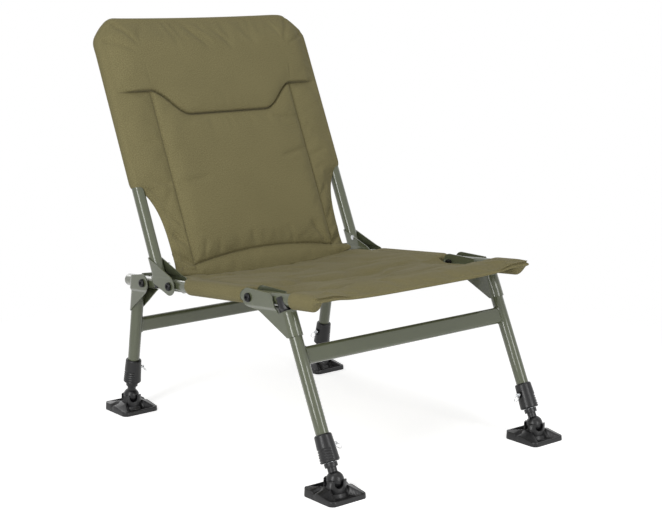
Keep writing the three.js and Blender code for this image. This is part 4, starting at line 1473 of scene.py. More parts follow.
@dataclass(frozen=True)
class FootPad:
    """Square mud foot: two sloping wings beside open pockets, and a notched socket for the ball."""

    size: float = 0.085
    corner: float = 0.012
    floor: float = 0.005
    front_rim: float = 0.0085
    rear_rim: float = 0.0150
    wall: float = 0.0035
    lip: float = 0.0012
    crest: float = 0.0220
    crest_near: float = 0.0190
    crest_far: float = 0.0325
    blend: float = 0.0021
    wing_slope: float = 2.8
    wing_curve: float = 0.8
    rim_slope: float = 3.5
    rim_step: float = 0.0005
    dent: float = 0.0045
    dent_place: float = 0.24
    dent_width: float = 0.0042
    dent_reach: Point = (0.020, 0.030)
    notch: float = 0.0082
    notch_mouth: float = 0.0088
    notch_rise: float = -0.0055
    overrun: float = 0.002
    twist: float = 17.0
    cup: float = 0.0209
    cup_rise: float = 0.003
    socket: float = 0.0168

    def plan(self, across: float, along: float) -> Point:
        """Takes a point of the square to one inside its rounded corners.

        Args:
            across: place across the square.
            along: place along it.

        Returns:
            The place inside the corners.
        """
        start = self.size / 2 - self.corner
        a, b = (abs(across) - start) / self.corner, (abs(along) - start) / self.corner
        if a <= 0 or b <= 0:
            return across, along
        x = start + self.corner * a * math.sqrt(1 - b * b / 2)
        y = start + self.corner * b * math.sqrt(1 - a * a / 2)
        return math.copysign(x, across), math.copysign(y, along)

    def over(self, first: float, second: float) -> float:
        """The higher of two heights, rounded where they meet."""
        near = max(0.0, self.blend - abs(first - second))
        return max(first, second) + near * near / (4 * self.blend)

    def rise(self, x: float, y: float, away: float) -> float:
        """Height of the moulding over the ground.

        Args:
            x: distance across from the ball.
            y: distance back from the ball.
            away: distance in from the edge.

        Returns:
            The height of floor, ridge or rim, whichever is higher.
        """
        half, front = self.size / 2, y < 0
        share = max(0.0, (abs(y) - self.cup * 0.5) / (half - self.cup * 0.5))
        edge = mix(self.crest_near, self.crest_far, share)
        corner = (self.front_rim if front else self.rear_rim) + self.rim_step
        top = mix(self.crest, corner, share)
        outer = mix(self.front_rim, self.rear_rim, smooth(y, -half, half * 0.4))
        if abs(x) > edge:
            wing = mix(top, outer, ((abs(x) - edge) / (half - edge)) ** self.wing_curve)
        else:
            wing = top - self.wing_slope * (edge - abs(x))
        off = (y - half * self.dent_place) / self.dent_width
        dent = self.dent * math.exp(-(off**2)) * smooth(abs(x), *self.dent_reach)
        rim = corner - self.rim_step - self.rim_slope * max(0.0, half - abs(y) - self.wall)
        skirt = outer - self.rim_slope * max(0.0, away - self.wall)
        return self.over(self.over(self.floor, wing - dent), self.over(rim, skirt - dent))

    def tray(self) -> Mesh:
        """The square moulding under the socket, drawn as heights over its plan.

        Returns:
            The closed moulding, the ball's centre at the origin.
        """
        low, half = -LAYOUT.ball_height, self.size / 2
        fine = [0.0, 0.0006, 0.0018, 0.0034, 0.0042, 0.0052, 0.0066, 0.0085]
        steps, inner = 26, half - fine[-1]
        line = [-half + d for d in fine] + [mix(-half + fine[-1], inner, k / steps) for k in range(1, steps)]
        line += [half - d for d in reversed(fine)]
        count = len(line)
        verts = []
        for along in line:
            for across in line:
                x, y = self.plan(across, along)
                away = half - max(abs(across), abs(along))
                ease = self.lip * (1 - min(1.0, away / self.lip)) ** 2
                verts.append((x, y, low + self.rise(x, y, away) - ease))
        faces = [[r * count + c, r * count + c + 1, (r + 1) * count + c + 1, (r + 1) * count + c]
                 for r in range(count - 1) for c in range(count - 1)]
        last = count - 1
        rim = ([c for c in range(last)] + [r * count + last for r in range(last)]
               + [last * count + c for c in range(last, 0, -1)] + [r * count for r in range(last, 0, -1)])
        for level, spread in ((self.lip, 1.012), (0.0, 1.006)):
            ring = []
            for index in rim:
                x, y = (math.copysign(min(abs(v) * spread, half), v) for v in verts[index][:2])
                ring.append(len(verts))
                verts.append((x, y, low + level))
            over = rim if level else below
            faces += [[over[k], ring[k], ring[(k + 1) % len(ring)], over[(k + 1) % len(ring)]]
                      for k in range(len(ring))]
            below = ring
        faces.append(list(reversed(below)))
        return mesh_from(verts, faces)

    def shape(self) -> Mesh:
        """The moulding, its ball's centre at the origin.

        Returns:
            The whole pad.
        """
        low, cup = -LAYOUT.ball_height, self.cup
        body = lathe(fillet([(0, low + 0.001), (cup + 0.003, low + 0.001), (cup + 0.003, low + 0.006),
                             (cup, low + 0.011), (cup, self.cup_rise), (0, self.cup_rise)], 0.001, 3), 64)
        room = lathe([(0, -self.socket)] + arc(0, 0, self.socket, -90, 0, 16)[1:]
                     + [(self.socket, self.cup_rise + self.overrun), (0, self.cup_rise + self.overrun)], 64)
        notches = []
        for turn in (0, 1):
            brim = self.cup_rise + self.overrun
            outline = arc(0, self.cup_rise + self.notch_rise, self.notch, 180, 360, 18)
            outline += [(self.notch_mouth, brim), (-self.notch_mouth, brim)]
            swing = math.radians(90 * turn - self.twist)
            notches.append(moved(side_prism(outline, -0.03, 0.03), Matrix.Rotation(swing, 4, "Z")))
        body = softened(carve(body, [room] + notches), 0.0007, 2)
        tray = carve(self.tray(), [lathe([(0, low + 0.004), (cup - 0.001, low + 0.004), (cup - 0.001, 0.0),
                                          (0, 0.0)], 64)])
        return carve(tray, [body], Cut.WITH)

    def build(self) -> None:
        """Stands one pad under each ball."""
        pad = self.shape()
        for hinge in (FRONT, REAR):
            for side in SIDES:
                ball = hinge.at(side, inward=False) @ Vector((0, hinge.offset, hinge.foot))
                stand(f"{hinge.name}_{side}_pad", moved(pad, Matrix.Translation(ball)), Dress.NYLON,
                      f"foot_pad_{hinge.name}_{side}", [f"foot_pad_{hinge.name}_{side}"], sharp=38)


@dataclass(frozen=True)
class BackTube:
    """The U-shaped backrest tube."""

    height: float = 0.5783
    bend: float = 0.062

    def path(self, low: float) -> list[Vector]:
        """Centre line from one lower end, over the top, to the other.

        Args:
            low: height of the lower ends.

        Returns:
            The centre line's points.
        """
        corner = arc(LAYOUT.rail_x - self.bend, self.height - self.bend, self.bend, 0, 90, 16)
        mirror = [(-x, z) for x, z in reversed(corner)]
        line = [(LAYOUT.rail_x, low), *corner, *mirror, (-LAYOUT.rail_x, low)]
        return [Vector((x, BACK.offset, z)) for x, z in line]

    def build(self) -> None:
        """Makes the tube."""
        tube = sweep(self.path(Saddle(BACK).tube_start), LAYOUT.tube, 48)
        stand("backrest_frame", moved(tube, BACK.matrix), Dress.PAINT, BACK.body, ["backrest_tube"])


# Sewn cloth


def graded(length: float, fine: Sequence[float], step: float, both: bool = True) -> list[float]:
    """Shares of a length, close together near its ends and even between.

    Args:
        length: the length to share out.
        fine: distances of the first points from the end.
        step: distance between the points after that.
        both: whether the far end is fine too.

    Returns:
        Shares from 0 up to but not including 1.
    """
    near = [d / length for d in fine]
    stop = 1 - (near[-1] if both else 0.0)
    count = max(2, round((stop - near[-1]) * length / step))
    even = [mix(near[-1], stop, k / count) for k in range(1, count)]
    far = [1 - share for share in reversed(near)][:-1] if both else []
    return near + even + far


@dataclass(frozen=True)
class Fold:
    """A soft crease from one point of the plan to another."""

    start: Point
    end: Point
    width: float
    height: float

    def lift(self, across: float, along: float) -> float:
        """Height of the crease over a point of the plan.

        Args:
            across: place across the plan.
            along: place along it.

        Returns:
            The height, below 0 in a crease.
        """
        run_x, run_y = self.end[0] - self.start[0], self.end[1] - self.start[1]
        to_x, to_y = across - self.start[0], along - self.start[1]
        length = run_x * run_x + run_y * run_y
        share = (to_x * run_x + to_y * run_y) / length
        if not 0 < share < 1:
            return 0.0
        away = (to_x * run_y - to_y * run_x) ** 2 / (length * self.width**2)
        return self.height * math.exp(-away) * math.sin(math.pi * share) ** 0.7 if away < 9 else 0.0


@dataclass(frozen=True)
class Filling:
    """How far and how hard a sewn pad is blown up, and how much spare cloth it has."""

    pressure: float
    cap: float
    spare: float
    stir: float
    frames: int = 15

    def blow(self, mesh: Mesh, pins: Sequence[float]) -> Mesh:
        """Lets the cloth swell between its pinned seams.

        Args:
            mesh: the sewn form before it is filled.
            pins: for each vertex, 1 where it is held and 0 where it is free.

        Returns:
            The filled form, no point further from its start than the cap.
        """
        start = [v.co.copy() for v in mesh.vertices]
        normals = [v.normal.copy() for v in mesh.vertices]
        for vertex, normal, pin in zip(mesh.vertices, normals, pins):
            push = noise.noise(vertex.co * 28 + Vector((3.1, 7.7, 1.3)))
            push += 0.5 * noise.noise(vertex.co * 71 + Vector((9.2, 0.4, 5.5)))
            vertex.co += normal * (push * self.stir * (1 - pin))
        holder = linked("cloth", mesh)
        group = holder.vertex_groups.new(name="seams")
        for index, pin in enumerate(pins):
            if pin > 0:
                group.add([index], pin, "REPLACE")
        cloth = holder.modifiers.new("cloth", "CLOTH")
        settings = {
            "quality": 5, "mass": 0.25, "vertex_group_mass": "seams", "use_pressure": True,
            "uniform_pressure_force": self.pressure, "tension_stiffness": 18, "compression_stiffness": 18,
            "shear_stiffness": 8, "bending_stiffness": 0.4, "shrink_min": -self.spare,
        }
        for key, value in settings.items():
            setattr(cloth.settings, key, value)
        cloth.settings.effector_weights.gravity = 0
        cloth.collision_settings.use_collision = False
        cloth.point_cache.frame_start, cloth.point_cache.frame_end = 1, self.frames
        scene = bpy.context.scene
        for number in range(1, self.frames + 1):
            scene.frame_set(number)
        seen = holder.evaluated_get(bpy.context.evaluated_depsgraph_get())
        swollen = [v.co.copy() for v in seen.data.vertices]
        bpy.data.objects.remove(holder)
        scene.frame_set(1)
        for vertex, rest, end, pin in zip(mesh.vertices, start, swollen, pins):
            way = (end - rest) * (1 - pin)
            reach = way.length
            if reach > self.cap:
                over = 1 - math.exp(-(reach - self.cap) / self.cap)
                way *= (self.cap + 0.3 * over * self.cap) / reach
            vertex.co = rest + way
        return mesh


@dataclass
class Sewn:
    """A closed form of two sheets on one grid, joined by a rounded edge."""

    plan: list[list[Vector]]
    upper: list[list[float]]
    lower: list[list[float]]
    place: Callable[[float, float, float], Vector]
    tuck: Callable[[Vector], float] = lambda point: 0.0
    steps: int = 8
    straight: bool = False
    tuck_angle: float = 1.15
    tuck_width: float = 0.42

    @property
    def rows(self) -> int:
        """Last row of the grid."""
        return len(self.plan) - 1

    @property
    def columns(self) -> int:
        """Last column of the grid."""
        return len(self.plan[0]) - 1

    @property
    def count(self) -> int:
        """Points in one sheet."""
        return (self.rows + 1) * (self.columns + 1)

    def at(self, row: int, column: int, below: bool = False) -> int:
        """Number of a grid point's vertex in the upper or the lower sheet."""
        return row * (self.columns + 1) + column + (self.count if below else 0)

    def rim(self) -> list[tuple[int, int]]:
        """Grid points round the edge, in order.

        Returns:
            Row and column of each point.
        """
        rows, columns = self.rows, self.columns
        return (
            [(0, c) for c in range(columns)] + [(r, columns) for r in range(rows)]
            + [(rows, c) for c in range(columns, 0, -1)] + [(r, 0) for r in range(rows, 0, -1)]
        )

    def build(self) -> Mesh:
        """Makes the mesh, with a flat map of the cloth in metres.

        Returns:
            The closed mesh.
        """
        verts, flat = [], []
        for heights in (self.upper, self.lower):
            for line, values in zip(self.plan, heights):
                for spot, height in zip(line, values):
                    verts.append(self.place(spot.x, spot.y, height))
                    flat.append((spot.x, spot.y))
        rim = self.rim()
        total, between = len(rim), self.steps - 1
        runs = []
        for i, (r, c) in enumerate(rim):
            before, after = rim[i - 1], rim[(i + 1) % total]
            run = self.plan[after[0]][after[1]] - self.plan[before[0]][before[1]]
            out = Vector((run.y, -run.x)).normalized()
            if self.straight and abs(out.x) > 1.15 * abs(out.y):
                out = Vector((math.copysign(1, out.x), 0))
            spot, high, low = self.plan[r][c], self.upper[r][c], self.lower[r][c]
            half, middle = (high - low) / 2, (high + low) / 2
            tuck = self.tuck(spot)
            runs.append([(spot.x + out.x * half * math.pi * k / self.steps,
                          spot.y + out.y * half * math.pi * k / self.steps) for k in range(self.steps + 1)])
            for k in range(1, self.steps):
                angle = math.pi * k / self.steps
                fold = tuck * math.exp(-(((angle - self.tuck_angle) / self.tuck_width) ** 2))
                edge = spot + out * (half * math.sin(angle) - fold)
                verts.append(self.place(edge.x, edge.y, middle + half * math.cos(angle)))
                flat.append(runs[-1][k])
        faces, maps = [], []
        for r in range(self.rows):
            for c in range(self.columns):
                ring = [(r, c), (r, c + 1), (r + 1, c + 1), (r + 1, c)]
                faces.append([self.at(*p) for p in ring])
                maps += [flat[self.at(*p)] for p in ring]
                faces.append([self.at(*p, below=True) for p in reversed(ring)])
                maps += [flat[self.at(*p)] for p in reversed(ring)]
        for i in range(total):
            j = (i + 1) % total
            for k in range(self.steps):
                ring = [(i, k), (i, k + 1), (j, k + 1), (j, k)]
                corners = []
                for index, level in ring:
                    if level in (0, self.steps):
                        corners.append(self.at(*rim[index], below=level > 0))
                    else:
                        corners.append(2 * self.count + index * between + level - 1)
                    maps.append(runs[index][level])
                faces.append(corners)
        mesh = bpy.data.meshes.new("cloth")
        mesh.from_pydata(verts, [], faces)
        layer = mesh.uv_layers.new(name="cloth")
        layer.data.foreach_set("uv", [value for pair in maps for value in pair])
        return outwards(mesh)


def creased(mesh: Mesh, chains: Iterable[Sequence[int]], depth: float = 0.7) -> Mesh:
    """Keeps seams sharp through the subdivision, and subdivides once.

    Args:
        mesh: the filled form.
        chains: rows of vertex numbers along the seams.
        depth: how sharp a seam stays.

    Returns:
        The finer mesh.
    """
    sharp = {tuple(sorted(pair)) for chain in chains for pair in zip(chain, chain[1:])}
    layer = mesh.attributes.new("crease_edge", "FLOAT", "EDGE")
    for edge in mesh.edges:
        layer.data[edge.index].value = depth if tuple(sorted(edge.vertices)) in sharp else 0.0

    def change(holder: bpy.types.Object) -> None:
        """Adds the subdivision."""
        step = holder.modifiers.new("fine", "SUBSURF")
        step.levels = step.render_levels = 1

    return applied(mesh, change)


class Stitches:
    """Rows of stitches, laid along a line of points by one node tree."""

    tree: bpy.types.NodeTree | None = None

    @classmethod
    def nodes(cls) -> bpy.types.NodeTree:
        """Makes the tree: points along the line, a small bead of thread on each.

        Returns:
            The node tree.
        """
        tree = bpy.data.node_groups.new("row_of_stitches", "GeometryNodeTree")
        sockets = {"Line": "Geometry", "Pitch": "Float", "Length": "Float", "Thickness": "Float",
                   "Wander": "Float", "Seed": "Int", "Thread": "Material"}
        for name, kind in sockets.items():
            tree.interface.new_socket(name, in_out="INPUT", socket_type=f"NodeSocket{kind}")
        tree.interface.new_socket("Geometry", in_out="OUTPUT", socket_type="NodeSocketGeometry")
        given = add(tree, "NodeGroupInput").outputs
        line = add(tree, "GeometryNodeMeshToCurve", {0: given["Line"]})
        spots = add(tree, "GeometryNodeResampleCurve", {"Curve": line.outputs[0], "Length": given["Pitch"]},
                    mode="LENGTH")
        bead = add(tree, "GeometryNodeMeshUVSphere", {"Segments": 6, "Rings": 4, "Radius": 0.5})
        spread = reckoned(tree, "MULTIPLY", given["Wander"], -1.0)
        low = add(tree, "ShaderNodeCombineXYZ", {k: spread for k in range(3)})
        high = add(tree, "ShaderNodeCombineXYZ", {k: given["Wander"] for k in range(3)})
        stray = add(tree, "FunctionNodeRandomValue",
                    {0: low.outputs[0], 1: high.outputs[0], "Seed": given["Seed"]}, data_type="FLOAT_VECTOR")
        way = add(tree, "ShaderNodeVectorMath",
                  {0: add(tree, "GeometryNodeInputTangent").outputs[0], 1: stray.outputs[0]}, operation="ADD")
        turn = add(tree, "FunctionNodeAlignRotationToVector", {"Vector": way.outputs[0]}, axis="Z")
        size = add(tree, "ShaderNodeCombineXYZ",
                   {0: given["Thickness"], 1: given["Thickness"], 2: given["Length"]})
        beads = add(tree, "GeometryNodeInstanceOnPoints",
                    {"Points": spots.outputs[0], "Instance": bead.outputs[0], "Rotation": turn.outputs[0],
                     "Scale": size.outputs[0]})
        solid = add(tree, "GeometryNodeRealizeInstances", {0: beads.outputs[0]})
        dyed = add(tree, "GeometryNodeSetMaterial", {0: solid.outputs[0], "Material": given["Thread"]})
        out = add(tree, "NodeGroupOutput")
        tree.links.new(dyed.outputs[0], out.inputs[0])
        return tree

    @classmethod
    def sew(cls, surface: Mesh, lines: Sequence[Sequence[Vector]], lift: float = 0.0003,
            pitch: float = 0.0042, length: float = 0.0031, thickness: float = 0.0009) -> Mesh:
        """Sews lines of stitches onto a surface.

        Args:
            surface: the cloth that they lie on.
            lines: points along each line, near the surface.
            lift: how far the thread's middle stands off the cloth.
            pitch: distance from one stitch to the next.
            length: length of a stitch.
            thickness: thickness of the thread.

        Returns:
            One mesh of all the stitches.
        """
        cls.tree = cls.tree or cls.nodes()
        ground = bmesh.new()
        ground.from_mesh(surface)
        tree = BVHTree.FromBMesh(ground)
        verts, edges = [], []
        for line in lines:
            for k, point in enumerate(line):
                near, normal, _, _ = tree.find_nearest(point)
                verts.append(near + normal * lift)
                if k:
                    edges.append((len(verts) - 2, len(verts) - 1))
        ground.free()
        rows = bpy.data.meshes.new("rows")
        rows.from_pydata(verts, edges, [])
        values = {"Pitch": pitch, "Length": length, "Thickness": thickness, "Wander": 0.08, "Seed": 7,
                  "Thread": Dress.THREAD.value.material()}
        return grown(rows, cls.tree, values)


def grown(mesh: Mesh, tree: bpy.types.NodeTree, values: dict[str, Any]) -> Mesh:
    """Runs a node tree on a mesh and gives the result as a plain mesh.

    Args:
        mesh: what the tree starts from.
        tree: the node tree.
        values: the value of each named input.

    Returns:
        The evaluated mesh.
    """

    def change(holder: bpy.types.Object) -> None:
        """Adds the node tree and sets its inputs."""
        step = holder.modifiers.new("nodes", "NODES")
        step.node_group = tree
        for item in tree.interface.items_tree:
            if item.item_type == "SOCKET" and item.in_out == "INPUT" and item.name in values:
                step[item.identifier] = values[item.name]

    return applied(mesh, change)


@dataclass(frozen=True)
class SeatSling:
    """Padded seat cloth, sleeved round both rails and open round the front brackets."""

    front_end: float = 0.194
    front_start: float = 0.107
    main_start: float = 0.026
    main_end: float = 0.226
    rear_end: float = 0.312
    cut_depth: float = 0.030
    cut_round: float = 0.010
    waist: float = 0.0226
    sag: float = 0.015
    thickness: float = 0.0065
    cloth: float = 0.0030
    ease: float = 0.0006
    hem: float = 0.0026
    pinch: float = 0.0210
    lip: float = 0.0052
    slit: float = 0.0075
    tuck_depth: float = 0.0070
    spread: float = 0.0095
    ridge: float = 0.150
    roll: float = 0.0125
    droop: float = 0.012
    droop_front: Point = (-0.120, -0.085)
    droop_rear: Point = (-0.002, 0.036)
    droop_from: float = 0.130
    fade: float = 0.002
    sleeve_fade: Point = (-0.004, 0.003)
    waist_fade: Point = (0.002, 0.0125)
    tail_from: float = 0.055
    tail_in: float = 0.012
    ridge_bow: float = 0.026
    panel_ease: float = 0.008
    hem_ease: float = 0.012
    closing: Point = (0.72, 0.86)
    tuck_ahead: Point = (0.009, 0.001)
    tuck_across: Point = (0.165, 0.225)
    sleeve_seam: float = 0.236
    thread_x: float = 0.2375
    hem_in: float = 0.006
    hem_half: float = 0.22
    hem_drop: float = 0.0065
    hem_steps: int = 40
    room_past: float = 0.0030
    folds: tuple[Fold, ...] = (
        Fold((-0.235, -0.134), (0.200, -0.070), 0.011, -0.0050),
        Fold((-0.235, 0.036), (0.215, 0.046), 0.013, -0.0060),
        Fold((-0.236, 0.222), (-0.120, 0.258), 0.006, 0.0040),
        Fold((-0.225, 0.246), (-0.130, 0.282), 0.005, -0.0035),
        Fold((-0.225, -0.150), (0.140, -0.124), 0.006, 0.0026),
        Fold((-0.200, -0.095), (0.120, -0.040), 0.009, 0.0028),
        Fold((-0.150, -0.030), (0.220, 0.010), 0.010, 0.0030),
        Fold((-0.225, 0.020), (0.060, -0.010), 0.009, -0.0018),
        Fold((-0.235, 0.070), (0.150, 0.080), 0.011, 0.0022),
        Fold((-0.100, 0.115), (0.235, 0.110), 0.012, -0.0020),
        Fold((-0.235, 0.150), (0.020, 0.120), 0.010, 0.0018),
        Fold((0.060, 0.170), (0.235, 0.060), 0.010, 0.0018),
        Fold((-0.235, 0.200), (-0.090, 0.150), 0.007, 0.0020),
        Fold((-0.220, -0.110), (-0.150, -0.070), 0.006, 0.0020),
        Fold((0.220, -0.110), (0.160, -0.060), 0.006, 0.0020),
        Fold((-0.222, 0.012), (-0.150, -0.035), 0.006, 0.0018),
        Fold((0.222, 0.012), (0.150, -0.040), 0.006, 0.0018),
        Fold((-0.236, -0.178), (-0.196, -0.140), 0.005, 0.0018),
        Fold((0.236, -0.178), (0.196, -0.140), 0.005, 0.0018),
    )

    @property
    def radius(self) -> float:
        """Outer radius of the sleeves."""
        return LAYOUT.tube + self.ease + self.cloth

    def top(self, x: float, y: float) -> float:
        """Height of the upper skin without folds.

        Args:
            x: distance across from the middle.
            y: distance back from the front pivots, along the rails.

        Returns:
            The height over the rails' axes, sagging inwards, and drooping beside the cut-outs.
        """
        reach = min(1.0, abs(x) / LAYOUT.rail_x)
        depth = smooth(y, -self.front_end, 0.0)
        beside = smooth(y, *self.droop_front) * (1 - smooth(y, *self.droop_rear))
        droop = self.droop * beside * smooth(abs(x), self.droop_from, LAYOUT.rail_x - self.cut_depth)
        return self.radius - self.sag * (0.08 + 0.92 * depth) * (1 - reach * reach) - droop

    def reach(self, y: float) -> float:
        """Half width of the sheet at y: out to the rails, in at the brackets and the waist.

        Args:
            y: distance back from the front pivots.

        Returns:
            The half width.
        """
        out = LAYOUT.rail_x
        inner = out - self.cut_depth
        into = smooth(y, -self.front_start - self.cut_round, -self.front_start + self.fade)
        back = smooth(y, self.main_start - self.fade, self.main_start + self.cut_round)
        waist = smooth(y, *(self.main_end + d for d in self.waist_fade)) * self.waist
        waist += smooth(y, self.main_end + self.tail_from, self.rear_end) * self.tail_in
        return mix(out, inner, into - back) - waist + self.spread * self.pinched(y)

    def sleeved(self, y: float) -> float:
        """1 where the edge is a sleeve, 0 where it is a hem.

        Args:
            y: distance back from the front pivots.

        Returns:
            The share.
        """
        gone = smooth(y, -self.front_start - self.cut_round, -self.front_start)
        come = smooth(y, self.main_start, self.main_start + self.cut_round)
        left = smooth(y, *(self.main_end + d for d in self.sleeve_fade))
        return 1 - gone + come - left

    def pinched(self, y: float) -> float:
        """How far the sleeve's front end is pressed flat."""
        return smooth(-y, self.front_end - self.pinch, self.front_end - 0.001)

    def rolled(self, share: float, y: float) -> float:
        """How far the front edge has rolled down, less towards the corners.

        Args:
            share: place across, from -1 to 1.
            y: distance back from the front pivots.

        Returns:
            How far the edge drops.
        """
        start = self.ridge + self.ridge_bow * abs(share) ** 3
        way = max(0.0, (-y - start) / (self.front_end - start))
        return self.roll * (1 - abs(share) ** 5) * way**1.25

    def skins(self, share: float, y: float) -> tuple[float, float]:
        """Heights of the upper and the lower skin.

        Args:
            share: place across, from -1 on one edge to 1 on the other.
            y: distance back from the front pivots.

        Returns:
            The upper and the lower height.
        """
        reach = self.reach(y)
        inward = reach - abs(reach * share)
        top = self.top(reach * share, y)
        panel = top - self.thickness
        round_off = -math.sqrt(max(0.0, self.radius**2 - inward**2))
        if inward > self.radius:
            round_off = mix(0.0, panel, min(1.0, (inward - self.radius) / self.panel_ease))
        hemmed = top - mix(self.hem * 2, self.thickness, smooth(inward, 0.0, self.hem_ease))
        bottom = min(mix(hemmed, min(round_off, panel), self.sleeved(y)), hemmed)
        closing = self.pinched(y) * smooth(abs(share), *self.closing)
        roll = self.rolled(share, y)
        top, bottom = top - roll, bottom - roll
        return mix(top, self.slit + self.lip, closing), mix(bottom, self.slit - self.lip, closing)

    def tucked(self, spot: Vector) -> float:
        """Depth of the slit between the two layers at a front corner."""
        ahead = smooth(-spot.y, *(self.front_end - d for d in self.tuck_ahead))
        return self.tuck_depth * ahead * smooth(abs(spot.x), *self.tuck_across)

    def drawn(self) -> Sewn:
        """The unfilled form on its grid.

        Returns:
            The form, ready to be built.
        """
        near = LAYOUT.rail_x
        half = [k * self.sleeve_seam / 26 for k in range(27)]
        half += [0.2395, 0.2425, 0.2450, 0.2475, 0.2505, 0.2545, 0.2580, near]
        shares = [-x / near for x in reversed(half[1:])] + [x / near for x in half]
        spans = [(-self.front_end, -self.front_end + self.pinch, 9),
                 (-self.front_end + self.pinch, -self.front_start - self.cut_round, 10),
                 (-self.front_start - self.cut_round, -self.front_start + 0.002, 7),
                 (-self.front_start + 0.002, self.main_start - 0.002, 16),
                 (self.main_start - 0.002, self.main_start + self.cut_round, 7),
                 (self.main_start + self.cut_round, self.main_end, 24),
                 (self.main_end, self.main_end + 0.025, 8),
                 (self.main_end + 0.025, self.rear_end, 9)]
        lines = [spans[0][0]] + [mix(low, high, k / n) for low, high, n in spans for k in range(1, n + 1)]
        plan = [[Vector((self.reach(y) * share, y)) for share in shares] for y in lines]
        skins = [[self.skins(share, y) for share in shares] for y in lines]
        upper = [[pair[0] for pair in row] for row in skins]
        lower = [[pair[1] for pair in row] for row in skins]
        return Sewn(plan, upper, lower, lambda x, y, h: Vector((x, y, h)), self.tucked, 10, True)

    def build(self) -> None:
        """Sews, fills and creases the seat, and opens its sleeves for the rails."""
        form = self.drawn()
        mesh = form.build()
        pins = [1.0] * len(mesh.vertices)
        for r in range(2, form.rows - 1):
            for c in range(form.columns + 1):
                inside = abs(form.plan[r][c].x) < form.plan[r][-1].x * 0.9
                if inside:
                    pins[form.at(r, c)] = 0.0
                    pins[form.at(r, c, below=True)] = 0.0
        mesh = Filling(pressure=0.6, cap=0.0026, spare=0.012, stir=0.0012).blow(mesh, pins)
        mesh = creased(mesh, [], 0.0)
        for vertex in mesh.vertices:
            vertex.co.z += sum(fold.lift(vertex.co.x, vertex.co.y) for fold in self.folds)
        start = LAYOUT.tube + self.ease
        rooms = [moved(along_y(rod(start, -SeatRails().front_reach - self.room_past, 0.5, 48)),
                       Matrix.Translation((sign * LAYOUT.rail_x, 0, 0))) for sign in (-1, 1)]
        rows = []
        for r_low, r_high in ((9, 19), (49, 72)):
            for sign in (-1, 1):
                depths = [form.plan[r][0].y for r in range(r_low, r_high + 1)]
                rows.append([Vector((sign * self.thread_x, y, self.top(self.thread_x, y))) for y in depths])
        places = [-self.hem_half + 2 * self.hem_half * k / self.hem_steps for k in range(self.hem_steps + 1)]
        hem = [Vector((x, -self.front_end + self.hem_in, -self.hem_drop)) for x in places]
        threads = Stitches.sew(mesh, rows + [hem], 0.0001)
        mesh = carve(mesh, rooms)
        place = LAYOUT.seat_frame
        seat = stand("seat_cloth", moved(mesh, place), Dress.CLOTH, "seat_frame", ["seat_sling"], sharp=55)
        stand("seat_stitches", moved(threads, place), Dress.THREAD, "seat_frame")


